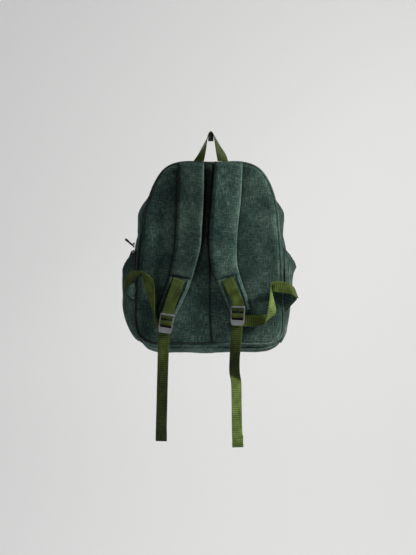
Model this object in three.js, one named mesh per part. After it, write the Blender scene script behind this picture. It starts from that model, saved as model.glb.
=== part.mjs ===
// School backpack hanging by its grab handle, seen from the shoulder-strap side.
// Millimetres, +Z up. +X is to the right when facing the straps, -Y is the strap side (the
// wearer's back) and +Y is the front-pocket side. The origin is the inside of the grab
// handle's crown, where a hook carries the bag. Inside the bag group, z = 0 is the top seam,
// y = 0 is the back seam and x = 0 is the bag's centre line.
import * as THREE from "three";

// ---- driving dimensions ----
const HANDLE_CLEAR = 65; // top seam to the inside of the handle crown
const HANDLE_SHIFT = 3; // the handle is sewn a little right of the centre line
const BAG_HEIGHT = 434;
const DEPTH_TOP = 84; // back seam to front seam
const DEPTH_BOTTOM = 96;
const WALL = 1.8; // sewn wall of shell fabric and lining
const GAP = 0.3; // between pieces that touch
const WEB_WIDTH = 25;
const WEB_THICK = 1.6;

// ---- materials ----
const paint = (color, roughness, metalness = 0) =>
  new THREE.MeshStandardMaterial({ color, roughness, metalness });
const shellFabric = paint(0x2f403a, 0.95);
const liningFabric = paint(0x23282a, 0.9);
const foam = paint(0x3a3d3f, 0.95);
const webbing = paint(0x46522a, 0.85);
const bindingTape = paint(0x1b1f1e, 0.9);
const zipTape = paint(0x1d2422, 0.9);
const zipCoil = paint(0x141616, 0.5);
const sliderMetal = paint(0x2a2b2c, 0.4, 0.7);
const cordPull = paint(0x101112, 0.7);
const bucklePlastic = paint(0x6b6c6e, 0.45);

// ---- small helpers ----
const vec = (x, y, z) => new THREE.Vector3(x, y, z);
const mix = (a, b, t) => a + (b - a) * t;
const steps = (count, make) => Array.from({ length: count + 1 }, (_, i) => make(i / count));
const smoothCurve = (points) => new THREE.CatmullRomCurve3(points, false, "centripetal");

function signedVolume(position, index) {
  const [a, b, c] = [vec(0, 0, 0), vec(0, 0, 0), vec(0, 0, 0)];
  let total = 0;
  for (let i = 0; i < index.length; i += 3) {
    a.fromArray(position, 3 * index[i]);
    b.fromArray(position, 3 * index[i + 1]);
    c.fromArray(position, 3 * index[i + 2]);
    total += a.dot(b.cross(c));
  }
  return total / 6;
}

// A closed body from a row of rings. A ring holds an even number of points: the first half
// runs along one face and the second half comes back along the other, so an end cap is a
// strip between the two halves. A looped body joins its last ring to its first.
function loft(rings, looped = false) {
  const size = rings[0].length;
  const position = rings.flat().flatMap((p) => [p.x, p.y, p.z]);
  const index = [];
  const quad = (a, b, c, d) => index.push(a, b, c, a, c, d);
  const last = looped ? rings.length : rings.length - 1;
  for (let i = 0; i < last; i++) {
    const here = i * size;
    const next = ((i + 1) % rings.length) * size;
    for (let k = 0; k < size; k++) {
      const after = (k + 1) % size;
      quad(here + k, next + k, next + after, here + after);
    }
  }
  if (!looped) {
    const end = (rings.length - 1) * size;
    for (let k = 0; k < size / 2 - 1; k++) {
      const back = size - 1 - k;
      quad(k, k + 1, back - 1, back);
      quad(end + back, end + back - 1, end + k + 1, end + k);
    }
  }
  if (signedVolume(position, index) < 0) index.reverse();
  const geometry = new THREE.BufferGeometry();
  geometry.setAttribute("position", new THREE.Float32BufferAttribute(position, 3));
  geometry.setIndex(index);
  geometry.computeVertexNormals();
  return geometry;
}

function piece(group, name, geometry, material) {
  const mesh = new THREE.Mesh(geometry, material);
  mesh.name = name;
  group.add(mesh);
  return mesh;
}

const sheetRing = (outer, inner) => [...outer, ...inner.slice().reverse()];

function roundRing(centre, across, along, radius, sides) {
  return steps(sides - 1, (t) => {
    const angle = (t * (sides - 1) * 2 * Math.PI) / sides;
    const offset = across.clone().multiplyScalar(radius * Math.cos(angle));
    return centre.clone().add(offset).addScaledVector(along, radius * Math.sin(angle));
  });
}

// Webbing between two edge lines, each a list of hand-placed points.
function ribbon(edgeA, edgeB, count, thickness = WEB_THICK) {
  const [curveA, curveB] = [smoothCurve(edgeA), smoothCurve(edgeB)];
  const middle = (t) => curveA.getPoint(t).add(curveB.getPoint(t)).multiplyScalar(0.5);
  return loft(
    steps(count, (t) => {
      const [a, b] = [curveA.getPoint(t), curveB.getPoint(t)];
      const ahead = middle(Math.min(1, t + 0.01)).sub(middle(Math.max(0, t - 0.01)));
      const half = ahead.cross(b.clone().sub(a)).setLength(thickness / 2);
      const [a1, b1] = [a.clone().add(half), b.clone().add(half)];
      return [a1, b1, b.sub(half), a.sub(half)];
    })
  );
}

// Edge lines of webbing that runs down a centre line, its width turned by `tilt` about Y.
function straightEdges(centres, tilt) {
  const side = vec(Math.cos(tilt), 0, -Math.sin(tilt)).multiplyScalar(WEB_WIDTH / 2);
  return [centres.map((p) => p.clone().sub(side)), centres.map((p) => p.clone().add(side))];
}

// ---- a bag wall: a band round the bag, from a back outline to a front outline ----
// Each outline lists [half width, z] from the top centre down to the bottom centre, and the
// middle outline gives the bulge between the two. `around` runs from 0 at the top centre to
// 1 or -1 at the bottom centre, right side positive. `deep` runs from 0 at the back to 1.
// `lean` shifts it sideways by height.
function makeWall({ back, middle, front, start, depth, lean }) {
  const curveOf = (keys) => smoothCurve(keys.map(([x, z]) => vec(x, 0, z)));
  const curves = [back, middle, front].map(curveOf);
  const floors = [back, middle, front].map((keys) => keys[keys.length - 1][1]);
  const surface = (around, deep) => {
    const t = Math.abs(around) > 1 ? 2 - Math.abs(around) : Math.abs(around);
    const side = Math.abs(around) > 1 ? -Math.sign(around) : Math.sign(around);
    const weights = [(2 * deep - 1) * (deep - 1), 4 * deep * (1 - deep), deep * (2 * deep - 1)];
    const point = vec(0, 0, 0);
    curves.forEach((curve, i) => {
      const p = curve.getPoint(t);
      p.z = Math.max(p.z, floors[i]);
      point.addScaledVector(p, weights[i]);
    });
    const y = start(point.z) + deep * depth(point.z);
    return vec(side * point.x + lean(point.z), y, point.z);
  };
  const at = (around, deep, inset = 0) => {
    const step = 0.004;
    const along = surface(around + step, deep).sub(surface(around - step, deep));
    const inward = vec(along.z, 0, -along.x).normalize();
    return surface(around, deep).addScaledVector(inward, inset);
  };
  // A band of the wall between two places round it and two depths.
  const band = (from, to, near, far, { count, columns = 1, inner = WALL, outer = 0 }) =>
    loft(
      steps(count, (t) => {
        const around = mix(from, to, t);
        const face = (inset) => steps(columns, (s) => at(around, mix(near, far, s), inset));
        return sheetRing(face(outer), face(inner));
      })
    );
  return { at, band };
}

const bagDepth = (z) => mix(DEPTH_TOP, DEPTH_BOTTOM, Math.min(1, Math.max(0, -z / BAG_HEIGHT)));
// The hanging bag slumps to the right at its shoulders and at its bottom corners.
const swell = (z, centre, reach) => Math.exp(-(((z - centre) / reach) ** 2));
const bagLean = (z) => 6 * swell(z, -30, 70) + 4 * swell(z, -425, 45);
const KEYS = 12; // spans between outline points
const bagWall = makeWall({
  back: [
    [0, -4], [72, -4], [104, -17], [127, -48], [146, -104], [153, -150], [158, -200],
    [161, -246], [164, -310], [165, -360], [157, -394], [128, -410], [0, -410],
  ],
  middle: [
    [0, 0], [70, -1], [105, -15], [136, -50], [167, -104], [171, -152], [174, -200],
    [176, -246], [176, -310], [174, -362], [168, -402], [144, -430], [0, -434],
  ],
  front: [
    [0, -5], [66, -6], [96, -20], [120, -54], [142, -110], [150, -155], [155, -200],
    [158, -246], [160, -310], [160, -360], [152, -398], [126, -410], [0, -410],
  ],
  start: () => 0,
  depth: bagDepth,
  lean: bagLean,
});
const ZIP_END = 7 / KEYS; // where the outline passes the flap hinge
const CORNER = 10.5 / KEYS; // seam between a side and the bottom
const SEAM = 0.0015; // half the clearance between wall bands, as a part of the way round
const NEAR_EDGE = 0.02;
const FAR_EDGE = 0.975;
const ZIP_CENTRE = 0.6;
const TAPE_HALF = 0.07;
const COIL_HALF = 0.02;
const SPLIT = 0.003;

// A panel that closes one side of a wall: rows across the bag between two places down it.
// `face` gives y from x as a part of the half width, and from z.
function panel(deep, from, to, rows, columns, inset, outerFace, innerFace) {
  return loft(
    steps(rows, (t) => {
      const edge = bagWall.at(mix(from, to, t), deep, inset);
      const middle = bagLean(edge.z);
      const line = (face) =>
        steps(columns, (part) => {
          const s = mix(-1, 1, part);
          return vec(middle + s * (edge.x - middle), face(s, edge.z), edge.z);
        });
      return sheetRing(line(outerFace), line(innerFace));
    })
  );
}

// ---- back: padded panel, lining, sleeve and piping ----
const BACK_FACE = 9; // back seam to the panel's outer face at its edge
const BACK_CROWN = 5;
const BACK_HEIGHT = 410;
const crown = (s, z) => {
  const down = Math.min(1, Math.max(0, -z / BACK_HEIGHT));
  return (1 - s ** 4) * Math.sin(Math.PI * down) ** 0.5;
};

function addBack(group) {
  const outer = (s, z) => -BACK_FACE - BACK_CROWN * crown(s, z);
  const shifted = (by) => (s, z) => outer(s, z) + by;
  const level = (y) => () => y;
  const [top, bottom] = [1 / KEYS, 11 / KEYS];
  const add = (name, inset, outside, inside, rows, columns, material) =>
    piece(group, name, panel(0, top, bottom, rows, columns, inset, outside, inside), material);
  add("back_panel", 0, outer, shifted(2), 14, 8, shellFabric);
  add("back_foam_pad", 4, shifted(3), level(-2.4), 14, 8, foam);
  add("back_panel_lining", 1, level(-2.1), level(-1.1), 12, 1, liningFabric);
  const sleeveTop = 3.2 / KEYS;
  const sleeve = (from, to, thick) =>
    panel(0.12, from, to, 8, 1, WALL + 4, level(11), level(11 + thick));
  piece(group, "laptop_sleeve", sleeve(sleeveTop + SEAM, 10.5 / KEYS, 1.5), liningFabric);
  piece(group, "laptop_sleeve_binding", sleeve(sleeveTop - 0.02, sleeveTop - SEAM, 2.5), bindingTape);
  const rings = steps(PIPING_RINGS - 1, (t) => pipingRing(mix(-1, 1, t * (1 - 1 / PIPING_RINGS)), 0));
  piece(group, "back_piping", loft(rings, true), shellFabric);
}

// Piping: a sewn cord just outside an outline, in the seam between two walls.
const PIPING_RADIUS = 2;
const PIPING_RINGS = 44;
const BACK_PIPING_Y = -6;

function pipingRing(around, deep) {
  const centre = bagWall.at(around, deep, -PIPING_RADIUS - 3 * GAP);
  const outward = bagWall.at(around, deep, -PIPING_RADIUS - 5).sub(centre).setY(0).normalize();
  centre.y = deep === 0 ? BACK_PIPING_Y : centre.y + GAP;
  return roundRing(centre, outward, vec(0, 1, 0), PIPING_RADIUS, 6);
}

// ---- main wall: rear strip, front strip, sides, bottom ----
function addMainWall(root, flap) {
  const reach = ZIP_END - SEAM;
  const strip = (group, name, near, far, columns) =>
    piece(group, name, bagWall.band(-reach, reach, near, far, { count: 30, columns }), shellFabric);
  strip(root, "rear_gusset_strip", NEAR_EDGE, ZIP_CENTRE - TAPE_HALF - SPLIT, 2);
  strip(flap, "front_gusset_strip", ZIP_CENTRE + TAPE_HALF + SPLIT, FAR_EDGE, 1);
  for (const [side, sign] of [["left", -1], ["right", 1]]) {
    const ends = [sign * (ZIP_END + SEAM), sign * (CORNER - SEAM)].sort((a, b) => a - b);
    const shape = bagWall.band(...ends, NEAR_EDGE, FAR_EDGE, { count: 7, columns: 4 });
    piece(root, `side_panel_${side}`, shape, shellFabric);
  }
  const bottom = bagWall.band(CORNER + SEAM, 2 - CORNER - SEAM, NEAR_EDGE, FAR_EDGE, {
    count: 10,
    columns: 5,
  });
  piece(root, "bottom_panel", bottom, shellFabric);
}

// ---- main zip: two tapes, two coils, two sliders ----
function addMainZip(root, flap) {
  const reach = ZIP_END - SEAM;
  const strip = (group, name, near, far, inner, outer, material) => {
    const shape = bagWall.band(-reach, reach, near, far, { count: 30, inner, outer });
    piece(group, name, shape, material);
  };
  const [tape, coil] = [TAPE_HALF, COIL_HALF];
  const [c, s] = [ZIP_CENTRE, SPLIT];
  strip(root, "main_zip_tape_rear", c - tape, c - coil - s, 1.4, 0.4, zipTape);
  strip(root, "main_zip_coil_rear", c - coil, c - s / 2, 1.8, -0.8, zipCoil);
  strip(flap, "main_zip_coil_front", c + s / 2, c + coil, 1.8, -0.8, zipCoil);
  strip(flap, "main_zip_tape_front", c + coil + s, c + tape, 1.4, 0.4, zipTape);
}

// A zip slider: a low body with a bridge on top that carries the pull. Its local +X points
// away from the zip and its local Z runs along it.
function sliderGeometry() {
  const profile = new THREE.Shape();
  profile.moveTo(0, -6);
  profile.lineTo(2.4, -5.5);
  profile.lineTo(4.2, -3);
  profile.lineTo(4.2, 3);
  profile.lineTo(2.4, 5.5);
  profile.lineTo(0, 6);
  const shape = new THREE.ExtrudeGeometry(profile, { depth: 8, bevelEnabled: false });
  return shape.rotateX(Math.PI / 2).translate(0, 4, 0);
}

// A cord pull with a moulded end, pointing along local +X from its hinge.
function pullGeometry(length) {
  const stations = [
    [0, 1.4], [length * 0.55, 1.4], [length * 0.62, 2.2], [length - 1, 2.4], [length, 1.6],
  ];
  return loft(stations.map(([x, r]) => roundRing(vec(x, 0, 0), vec(0, 1, 0), vec(0, 0, 1), r, 6)));
}

const SLIDER_STANDOFF = 2.4;
const PULL_LENGTH = 21;
const PULL_START = SLIDER_STANDOFF + 4.2 + 1.9; // pull's hinge from the wall, outwards

// The slider's place on the left side of the bag at a given z, on the zip's centre.
function zipPlace(z) {
  let [low, high] = [2 / KEYS, ZIP_END];
  for (let i = 0; i < 40; i++) {
    const middle = (low + high) / 2;
    if (bagWall.at(-middle, ZIP_CENTRE).z > z) low = middle;
    else high = middle;
  }
  return bagWall.at(-low, ZIP_CENTRE);
}

const ZIP_LEAN = 0.066; // the side wall spreads this much for each unit of drop
const sliderAngle = Math.PI - Math.atan(ZIP_LEAN); // local +X turned to face left

function addMainSliders(group) {
  const pullAngle = { upper: 0.56, lower: -1.25 }; // the pull's rise above level, in radians
  for (const [which, z] of [["upper", -186], ["lower", -203]]) {
    const place = zipPlace(z);
    const slider = piece(group, `main_slider_${which}`, sliderGeometry(), sliderMetal);
    slider.position.set(place.x - SLIDER_STANDOFF, place.y, z);
    slider.rotation.y = sliderAngle;
    const pull = piece(group, `main_zip_pull_${which}`, pullGeometry(PULL_LENGTH), cordPull);
    pull.position.set(place.x - PULL_START, place.y, z);
    pull.rotation.y = Math.PI + pullAngle[which];
  }
}

// ---- front panel, split at the flap hinge ----
const FRONT_PANEL = 3;
function addFrontPanel(root, flap) {
  const inside = (s, z) => bagDepth(z) * FAR_EDGE + GAP + 0.1;
  const outside = (s, z) => inside(s, z) + FRONT_PANEL;
  const add = (group, name, from, to, rows) =>
    piece(group, name, panel(1, from, to, rows, 6, 0, outside, inside), shellFabric);
  add(flap, "front_panel_upper", 1 / KEYS, ZIP_END - SEAM, 9);
  add(root, "front_panel_lower", ZIP_END + SEAM, 11 / KEYS, 7);
  const reach = ZIP_END - SEAM;
  const rings = steps(26, (t) => pipingRing(mix(-reach, reach, t), 1));
  piece(flap, "front_piping_upper", loft(rings), shellFabric);
}

// ---- front pocket on the lower front ----
const POCKET_TOP = -262;
const POCKET_BOTTOM = -408;
const POCKET_HALF = 128;
const POCKET_STEPS = 8; // spans between its outline points
const pocketStart = (z) => bagDepth(z) * FAR_EDGE + FRONT_PANEL + 2 * GAP;
const pocketDepth = (z) => mix(20, 32, (POCKET_TOP - z) / (POCKET_TOP - POCKET_BOTTOM));

function pocketOutline(half, top, bottom) {
  const r = 26;
  return [
    [0, top], [half * 0.5, top], [half - r, top], [half - r * 0.3, top - r * 0.3], [half, top - r],
    [half, bottom + r], [half - r * 0.3, bottom + r * 0.3], [half - r, bottom], [0, bottom],
  ];
}

const pocketWall = makeWall({
  back: pocketOutline(POCKET_HALF, POCKET_TOP, POCKET_BOTTOM),
  middle: pocketOutline(POCKET_HALF + 1, POCKET_TOP, POCKET_BOTTOM),
  front: pocketOutline(POCKET_HALF - 4, POCKET_TOP - 3, POCKET_BOTTOM + 3),
  start: pocketStart,
  depth: pocketDepth,
  lean: () => 0,
});

function addFrontPocket(group) {
  const zipReach = 2.5 / POCKET_STEPS;
  const tapeReach = zipReach - 0.009;
  const gusset = pocketWall.band(zipReach + SEAM, 2 - zipReach - SEAM, 0, 0.94, { count: 22 });
  piece(group, "front_pocket_gusset", gusset, shellFabric);
  const strip = (name, near, far, inner, outer, material) => {
    const shape = pocketWall.band(-tapeReach, tapeReach, near, far, { count: 8, inner, outer });
    piece(group, name, shape, material);
  };
  strip("front_pocket_zip_tape_rear", 0, 0.42, WALL, 0, zipTape);
  strip("front_pocket_zip_coil", 0.44, 0.56, 2, -0.8, zipCoil);
  strip("front_pocket_zip_tape_front", 0.58, 0.94, WALL, 0, zipTape);

  const rows = 8;
  const face = steps(rows, (t) => {
    const edge = pocketWall.at(mix(1.2 / POCKET_STEPS, 7 / POCKET_STEPS, t), 1);
    const y = pocketStart(edge.z) + pocketDepth(edge.z) * 0.94 + GAP;
    const line = (lift) =>
      steps(6, (s) => {
        const across = mix(-1, 1, s);
        const swell = 5 * (1 - across ** 4) * Math.sin(Math.PI * t);
        return vec(across * edge.x, y + lift + swell, edge.z);
      });
    return sheetRing(line(2.2), line(0));
  });
  piece(group, "front_pocket_panel", loft(face), shellFabric);
}

const POCKET_SLIDER_X = 84; // parked at the right end of the pocket zip
function addFrontPocketSlider(group) {
  const place = pocketWall.at(0.02, 0.5);
  const top = place.z + SLIDER_STANDOFF;
  const slider = piece(group, "front_pocket_slider", sliderGeometry(), sliderMetal);
  slider.position.set(POCKET_SLIDER_X, place.y, top);
  slider.rotation.y = -Math.PI / 2;
  const pull = piece(group, "front_pocket_zip_pull", pullGeometry(PULL_LENGTH), cordPull);
  pull.position.set(POCKET_SLIDER_X, place.y, top + 4.2 + 2.8);
  pull.rotation.y = Math.PI;
}

// ---- side pockets: sagging pouches with an elastic rim ----
const SIDE_BULGE = 24;
// The rim drops from the back seam and stays below the flap hinge in front of the zip.
const rimAround = (deep) => {
  const forward = Math.min(1, deep / ZIP_CENTRE);
  return mix(6.15, 7.15, Math.sin((Math.PI / 2) * forward)) / KEYS;
};
const poutAt = (down, deep) => SIDE_BULGE * Math.sin(Math.PI * deep) ** 0.75 * (1 - down ** 2.2);

function addSidePocket(group, side, sign) {
  const [near, far, rows, columns] = [0.07, 0.93, 8, 6];
  const low = CORNER - 0.01;
  const ring = (down, lift, thick) => {
    const face = (extra) =>
      steps(columns, (s) => {
        const deep = mix(near, far, s);
        const around = mix(rimAround(deep), low, down) - lift;
        return bagWall.at(sign * around, deep, -(poutAt(down, deep) + 2 * GAP + extra));
      });
    return sheetRing(face(thick), face(0));
  };
  const pouch = loft(steps(rows, (t) => ring(t, 0, WALL)));
  piece(group, `side_pocket_${side}`, pouch, shellFabric);
  const rim = loft([ring(0, 0.016, WALL + 1), ring(0, SEAM, WALL + 1)]);
  piece(group, `side_pocket_binding_${side}`, rim, bindingTape);
}

// ---- fabric wings that carry the lower ends of the adjuster webbing ----
// Corners as [x, z]: the two ends of the side seam, then the tip.
const WINGS = {
  left: [[-169.6, -266], [-171, -318], [-192.5, -287]],
  right: [[170.6, -284], [171, -340], [198.5, -306]],
};

function addWing(group, side) {
  const [near, far, thick] = [-8, -5.4, 1.4];
  const [upper, lower, tip] = WINGS[side];
  const blunt = ([x, z], t) => [mix(x, tip[0], t), mix(z, tip[1], t)];
  const edge = ([x, z], y) => [vec(x, y, z), vec(x, y + thick, z)];
  const ring = (t, y) => {
    const [a, b] = [edge(blunt(upper, t), y), edge(blunt(lower, t), y)];
    return [a[0], b[0], b[1], a[1]];
  };
  piece(group, `wing_tab_${side}`, loft([ring(0, far), ring(0.93, near)]), shellFabric);
}

// ---- adjuster webbing between a wing and its ladder lock ----
// Each edge is a list of points from the wing to behind the ladder lock.
const LOOPS = {
  left: [
    [
      vec(-190.5, -10, -281), vec(-182.5, -24, -255), vec(-172, -34, -248.3),
      vec(-158, -41, -248.6), vec(-151.5, -42.5, -253), vec(-147.5, -42.5, -272),
      vec(-143, -40.5, -288), vec(-137.8, -38, -304), vec(-129.5, -40, -331),
      vec(-124.5, -33.5, -360), vec(-116, -22, -379), vec(-105, -19.5, -381),
    ],
    [
      vec(-180, 6, -267), vec(-172, -4, -265), vec(-163, -12.5, -258),
      vec(-155, -17, -253), vec(-147.5, -18, -249.5), vec(-131.5, -24, -262),
      vec(-122.5, -27, -280), vec(-121.6, -19.5, -302), vec(-121.6, -17.5, -330),
      vec(-118.5, -16.5, -344), vec(-110, -18, -355), vec(-103, -20.5, -357),
    ],
  ],
  right: [
    [
      vec(198.8, 3, -302), vec(190, -12, -284), vec(177.2, -19, -274.4),
      vec(161.7, -22, -271), vec(145, -25, -271.5), vec(137, -26, -275),
      vec(134, -25.5, -290), vec(131.5, -24.5, -312), vec(128.5, -23, -332),
      vec(123.5, -18.5, -358), vec(119.5, -17.5, -369), vec(108, -17, -371),
      vec(92, -19, -371.5), vec(72, -23, -371),
    ],
    [
      vec(199.5, -19, -309), vec(189, -27, -303), vec(177, -26, -298.5),
      vec(160, -28, -295.5), vec(144.5, -36, -293), vec(138, -48, -284),
      vec(140.5, -48, -291), vec(147.3, -43, -314), vec(144, -40.5, -335),
      vec(132.5, -35, -345), vec(122, -24, -346), vec(108, -18.5, -346),
      vec(92, -19, -346), vec(72, -23, -346),
    ],
  ],
};

// ---- shoulder straps ----
// Stations as [x, z, full width], down the strap's centre line.
const STRAPS = {
  left: [
    [-41.5, -6, 57], [-43.5, -86, 58], [-46, -140, 57.5], [-49, -187, 56.5], [-59, -237, 52],
    [-72.5, -283, 49], [-86, -318, 44], [-91.5, -333, 38],
  ],
  right: [
    [43, -6, 61], [37.5, -86, 63], [32.5, -140, 62], [30, -187, 60.5], [33.5, -237, 56],
    [49, -283, 50], [60, -306, 46], [64, -317, 40],
  ],
};
const STRAP_BACK = -19;
const STRAP_LAYERS = [
  ["strap_backing", 0, 2, 1, liningFabric],
  ["strap_foam", 2.3, 8.7, 0.94, foam],
  ["strap_cover", 9, 14, 1, shellFabric],
];

function addStrap(group, side) {
  const line = smoothCurve(STRAPS[side].map(([x, z]) => vec(x, 0, z)));
  const widths = smoothCurve(STRAPS[side].map(([, , width]) => vec(width, 0, 0)));
  for (const [name, low, high, part, material] of STRAP_LAYERS) {
    const trim = (t) => mix((1 - part) * 0.2, 1 - (1 - part) * 0.4, t);
    const rings = steps(11, (t) => {
      const place = line.getPoint(trim(t));
      const down = line.getTangent(trim(t));
      const across = vec(-down.z, 0, down.x);
      const half = (widths.getPoint(trim(t)).x / 2) * part;
      const face = (lift, narrow) =>
        [-1, -0.5, 0.5, 1].map((s) => {
          const drop = Math.abs(s) === 1 ? narrow : 0;
          const point = place.clone().addScaledVector(across, s * half);
          return point.setY(STRAP_BACK - lift + drop);
        });
      return sheetRing(face(high, name === "strap_cover" ? 2.5 : 0), face(low, 0));
    });
    piece(group, `${name}_${side}`, loft(rings), material);
  }
}

// ---- ladder locks and the webbing on them ----
// `pivot` is the middle of the top bar, `tilt` turns the lock's foot to the left, and `sewn`
// is the top of the webbing stitched on the strap.
const LOCK_Y = -32;
const LOCKS = {
  left: { pivot: [-93.5, -345], tilt: 0.17, sewn: [-68.4, -266], sewnTilt: 0.32 },
  right: { pivot: [63.2, -328], tilt: 0.035, sewn: [40, -265.5], sewnTilt: -0.35 },
};
const BAR_HALF = 2.2;
const LOCK_HALF = 16.5;
const LOCK_FOOT = -40;
const LOCK_THICK = 3.6;
const SLOT_HALF = 13.3;

function lockGeometry() {
  const outline = new THREE.Shape();
  outline.moveTo(-LOCK_HALF + 2, BAR_HALF);
  outline.lineTo(LOCK_HALF - 2, BAR_HALF);
  outline.quadraticCurveTo(LOCK_HALF, BAR_HALF, LOCK_HALF, BAR_HALF - 2);
  outline.lineTo(LOCK_HALF - 0.8, -27);
  outline.lineTo(LOCK_HALF - 4, LOCK_FOOT);
  outline.lineTo(-LOCK_HALF + 4, LOCK_FOOT);
  outline.lineTo(-LOCK_HALF + 0.8, -27);
  outline.lineTo(-LOCK_HALF, BAR_HALF - 2);
  outline.quadraticCurveTo(-LOCK_HALF, BAR_HALF, -LOCK_HALF + 2, BAR_HALF);
  for (const [top, bottom] of [[-BAR_HALF, -12], [-16, -25]]) {
    const slot = new THREE.Path();
    slot.moveTo(-SLOT_HALF, top);
    slot.lineTo(-SLOT_HALF, bottom);
    slot.lineTo(SLOT_HALF, bottom);
    slot.lineTo(SLOT_HALF, top);
    slot.closePath();
    outline.holes.push(slot);
  }
  const plate = new THREE.ExtrudeGeometry(outline, {
    depth: LOCK_THICK,
    bevelEnabled: false,
    curveSegments: 3,
  });
  return plate.rotateX(Math.PI / 2).translate(0, LOCK_THICK / 2, 0);
}

// Webbing wrapped over the middle bar, in the lock's own frame: up behind, over, down in
// front, and back through the lower slot to leave behind the grip.
const THREAD_PATH = [
  vec(0, 7.4, -31), vec(0, 7, -20), vec(0, 4.8, -11), vec(0, 0, -9.7), vec(0, -3.4, -10.6),
  vec(0, -4, -14), vec(0, -3.2, -17.8), vec(0, 0, -20), vec(0, 3.5, -23.5), vec(0, 4, -30),
  vec(0, 4, -38),
];

function lockFrame(side) {
  const { pivot, tilt } = LOCKS[side];
  const frame = new THREE.Group();
  frame.position.set(pivot[0], LOCK_Y, pivot[1]);
  frame.rotation.y = tilt;
  return frame;
}

function addLock(group, side) {
  const frame = lockFrame(side);
  group.add(frame);
  piece(frame, `ladder_lock_${side}`, lockGeometry(), bucklePlastic);
  const thread = ribbon(...straightEdges(THREAD_PATH, 0), 22);
  piece(frame, `adjuster_threaded_${side}`, thread, webbing);
}

function addStrapWebbing(group, side) {
  const { pivot, sewn, tilt, sewnTilt } = LOCKS[side];
  const hook = BAR_HALF + 3 * GAP + WEB_THICK / 2;
  const down = vec(-Math.sin(tilt), 0, -Math.cos(tilt));
  const bar = (y, drop) => vec(pivot[0], LOCK_Y + y, pivot[1]).addScaledVector(down, drop);
  const front = STRAP_BACK - 14 - GAP - 1;
  const top = vec(sewn[0], front, sewn[1]);
  const centres = [
    top, top.clone().lerp(bar(0, -8), 0.5).setY(front - 0.2), bar(front - LOCK_Y - 0.4, -8),
    bar(-hook, 0), bar(-hook, BAR_HALF - 0.4), bar(0, hook + 0.4), bar(hook, BAR_HALF - 0.4),
    bar(hook, -5),
  ];
  const edges = [[], []];
  centres.forEach((centre, i) => {
    const turned = Math.min(1, Math.max(0, (i - 1) / 2));
    const [a, b] = straightEdges([centre], mix(sewnTilt, tilt, turned));
    edges[0].push(a[0]);
    edges[1].push(b[0]);
  });
  piece(group, `strap_webbing_${side}`, ribbon(...edges, 20), webbing);
}

// ---- free webbing tails with a folded hem ----
// Centre line as [x, y, z] from just below the lock to the tip.
const TAILS = {
  left: [[-101.3, -28, -386.5], [-103.5, -27.5, -430], [-106, -27, -520], [-108, -26.5, -624]],
  right: [[61.6, -28, -369.5], [58.5, -27.5, -410], [54.5, -26.5, -480], [61.5, -25, -638]],
};
const HEM = 24; // length of the doubled end

function addTail(group, side) {
  const points = TAILS[side].map((p) => vec(...p));
  const tip = points[points.length - 1];
  const foldedUp = vec(tip.x, tip.y + WEB_THICK + 2 * GAP, tip.z + HEM);
  const bend = vec(tip.x, tip.y + WEB_THICK / 2 + GAP, tip.z - 1);
  const folded = [...points, bend, foldedUp];
  const edges = straightEdges(folded, 0);
  piece(group, `adjuster_tail_${side}`, ribbon(...edges, 25), webbing);
}

// ---- grab handle ----
function addHandle(group) {
  // Right half, from the sewn foot to the crown. The webbing turns edge-on as it rises.
  const halfA = [
    vec(39, -1.5, 1.6), vec(28.5, -8, 20), vec(18, -11.6, 40), vec(10.5, -12.3, 55),
    vec(5, -12.5, 64.5), vec(0, -12.5, 66.8),
  ];
  const halfB = [
    vec(15, 1.5, 1.6), vec(12.5, 8, 20), vec(9.6, 11.6, 40), vec(8, 12.3, 55),
    vec(4.5, 12.5, 63.5), vec(0, 12.5, 66.8),
  ];
  const mirrored = (points) => points.slice(0, -1).reverse().map((p) => vec(-p.x, p.y, p.z));
  const both = (points) => [...points, ...mirrored(points)];
  const strap = piece(group, "grab_handle", ribbon(both(halfA), both(halfB), 28), webbing);
  const linerEdge = (y) => {
    const rising = [vec(6.6, y, 44), vec(6, y, 55), vec(3.6, y, 61.5), vec(0, y, 64)];
    return both(rising);
  };
  const liner = ribbon(linerEdge(-9), linerEdge(9), 14, 1);
  piece(group, "handle_liner", liner, bindingTape);
  for (const mesh of [strap, group.children.at(-1)]) mesh.position.x = HANDLE_SHIFT;
}

// ---- the whole bag ----
function buildBackpack() {
  const backpack = new THREE.Group();
  backpack.name = "school_backpack";
  const bag = new THREE.Group();
  const flap = new THREE.Group();
  bag.position.set(-HANDLE_SHIFT, 0, -HANDLE_CLEAR);
  bag.add(flap);
  backpack.add(bag);

  addBack(bag);
  addMainWall(bag, flap);
  addMainZip(bag, flap);
  addMainSliders(bag);
  addFrontPanel(bag, flap);
  addFrontPocket(bag);
  addFrontPocketSlider(bag);
  for (const [side, sign] of [["left", -1], ["right", 1]]) {
    addSidePocket(bag, side, sign);
    addWing(bag, side);
    piece(bag, `adjuster_loop_${side}`, ribbon(...LOOPS[side], 30), webbing);
    addStrap(bag, side);
    addStrapWebbing(bag, side);
    addLock(bag, side);
    addTail(bag, side);
  }
  addHandle(bag);
  return backpack;
}

export default buildBackpack();
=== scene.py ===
import math

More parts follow.
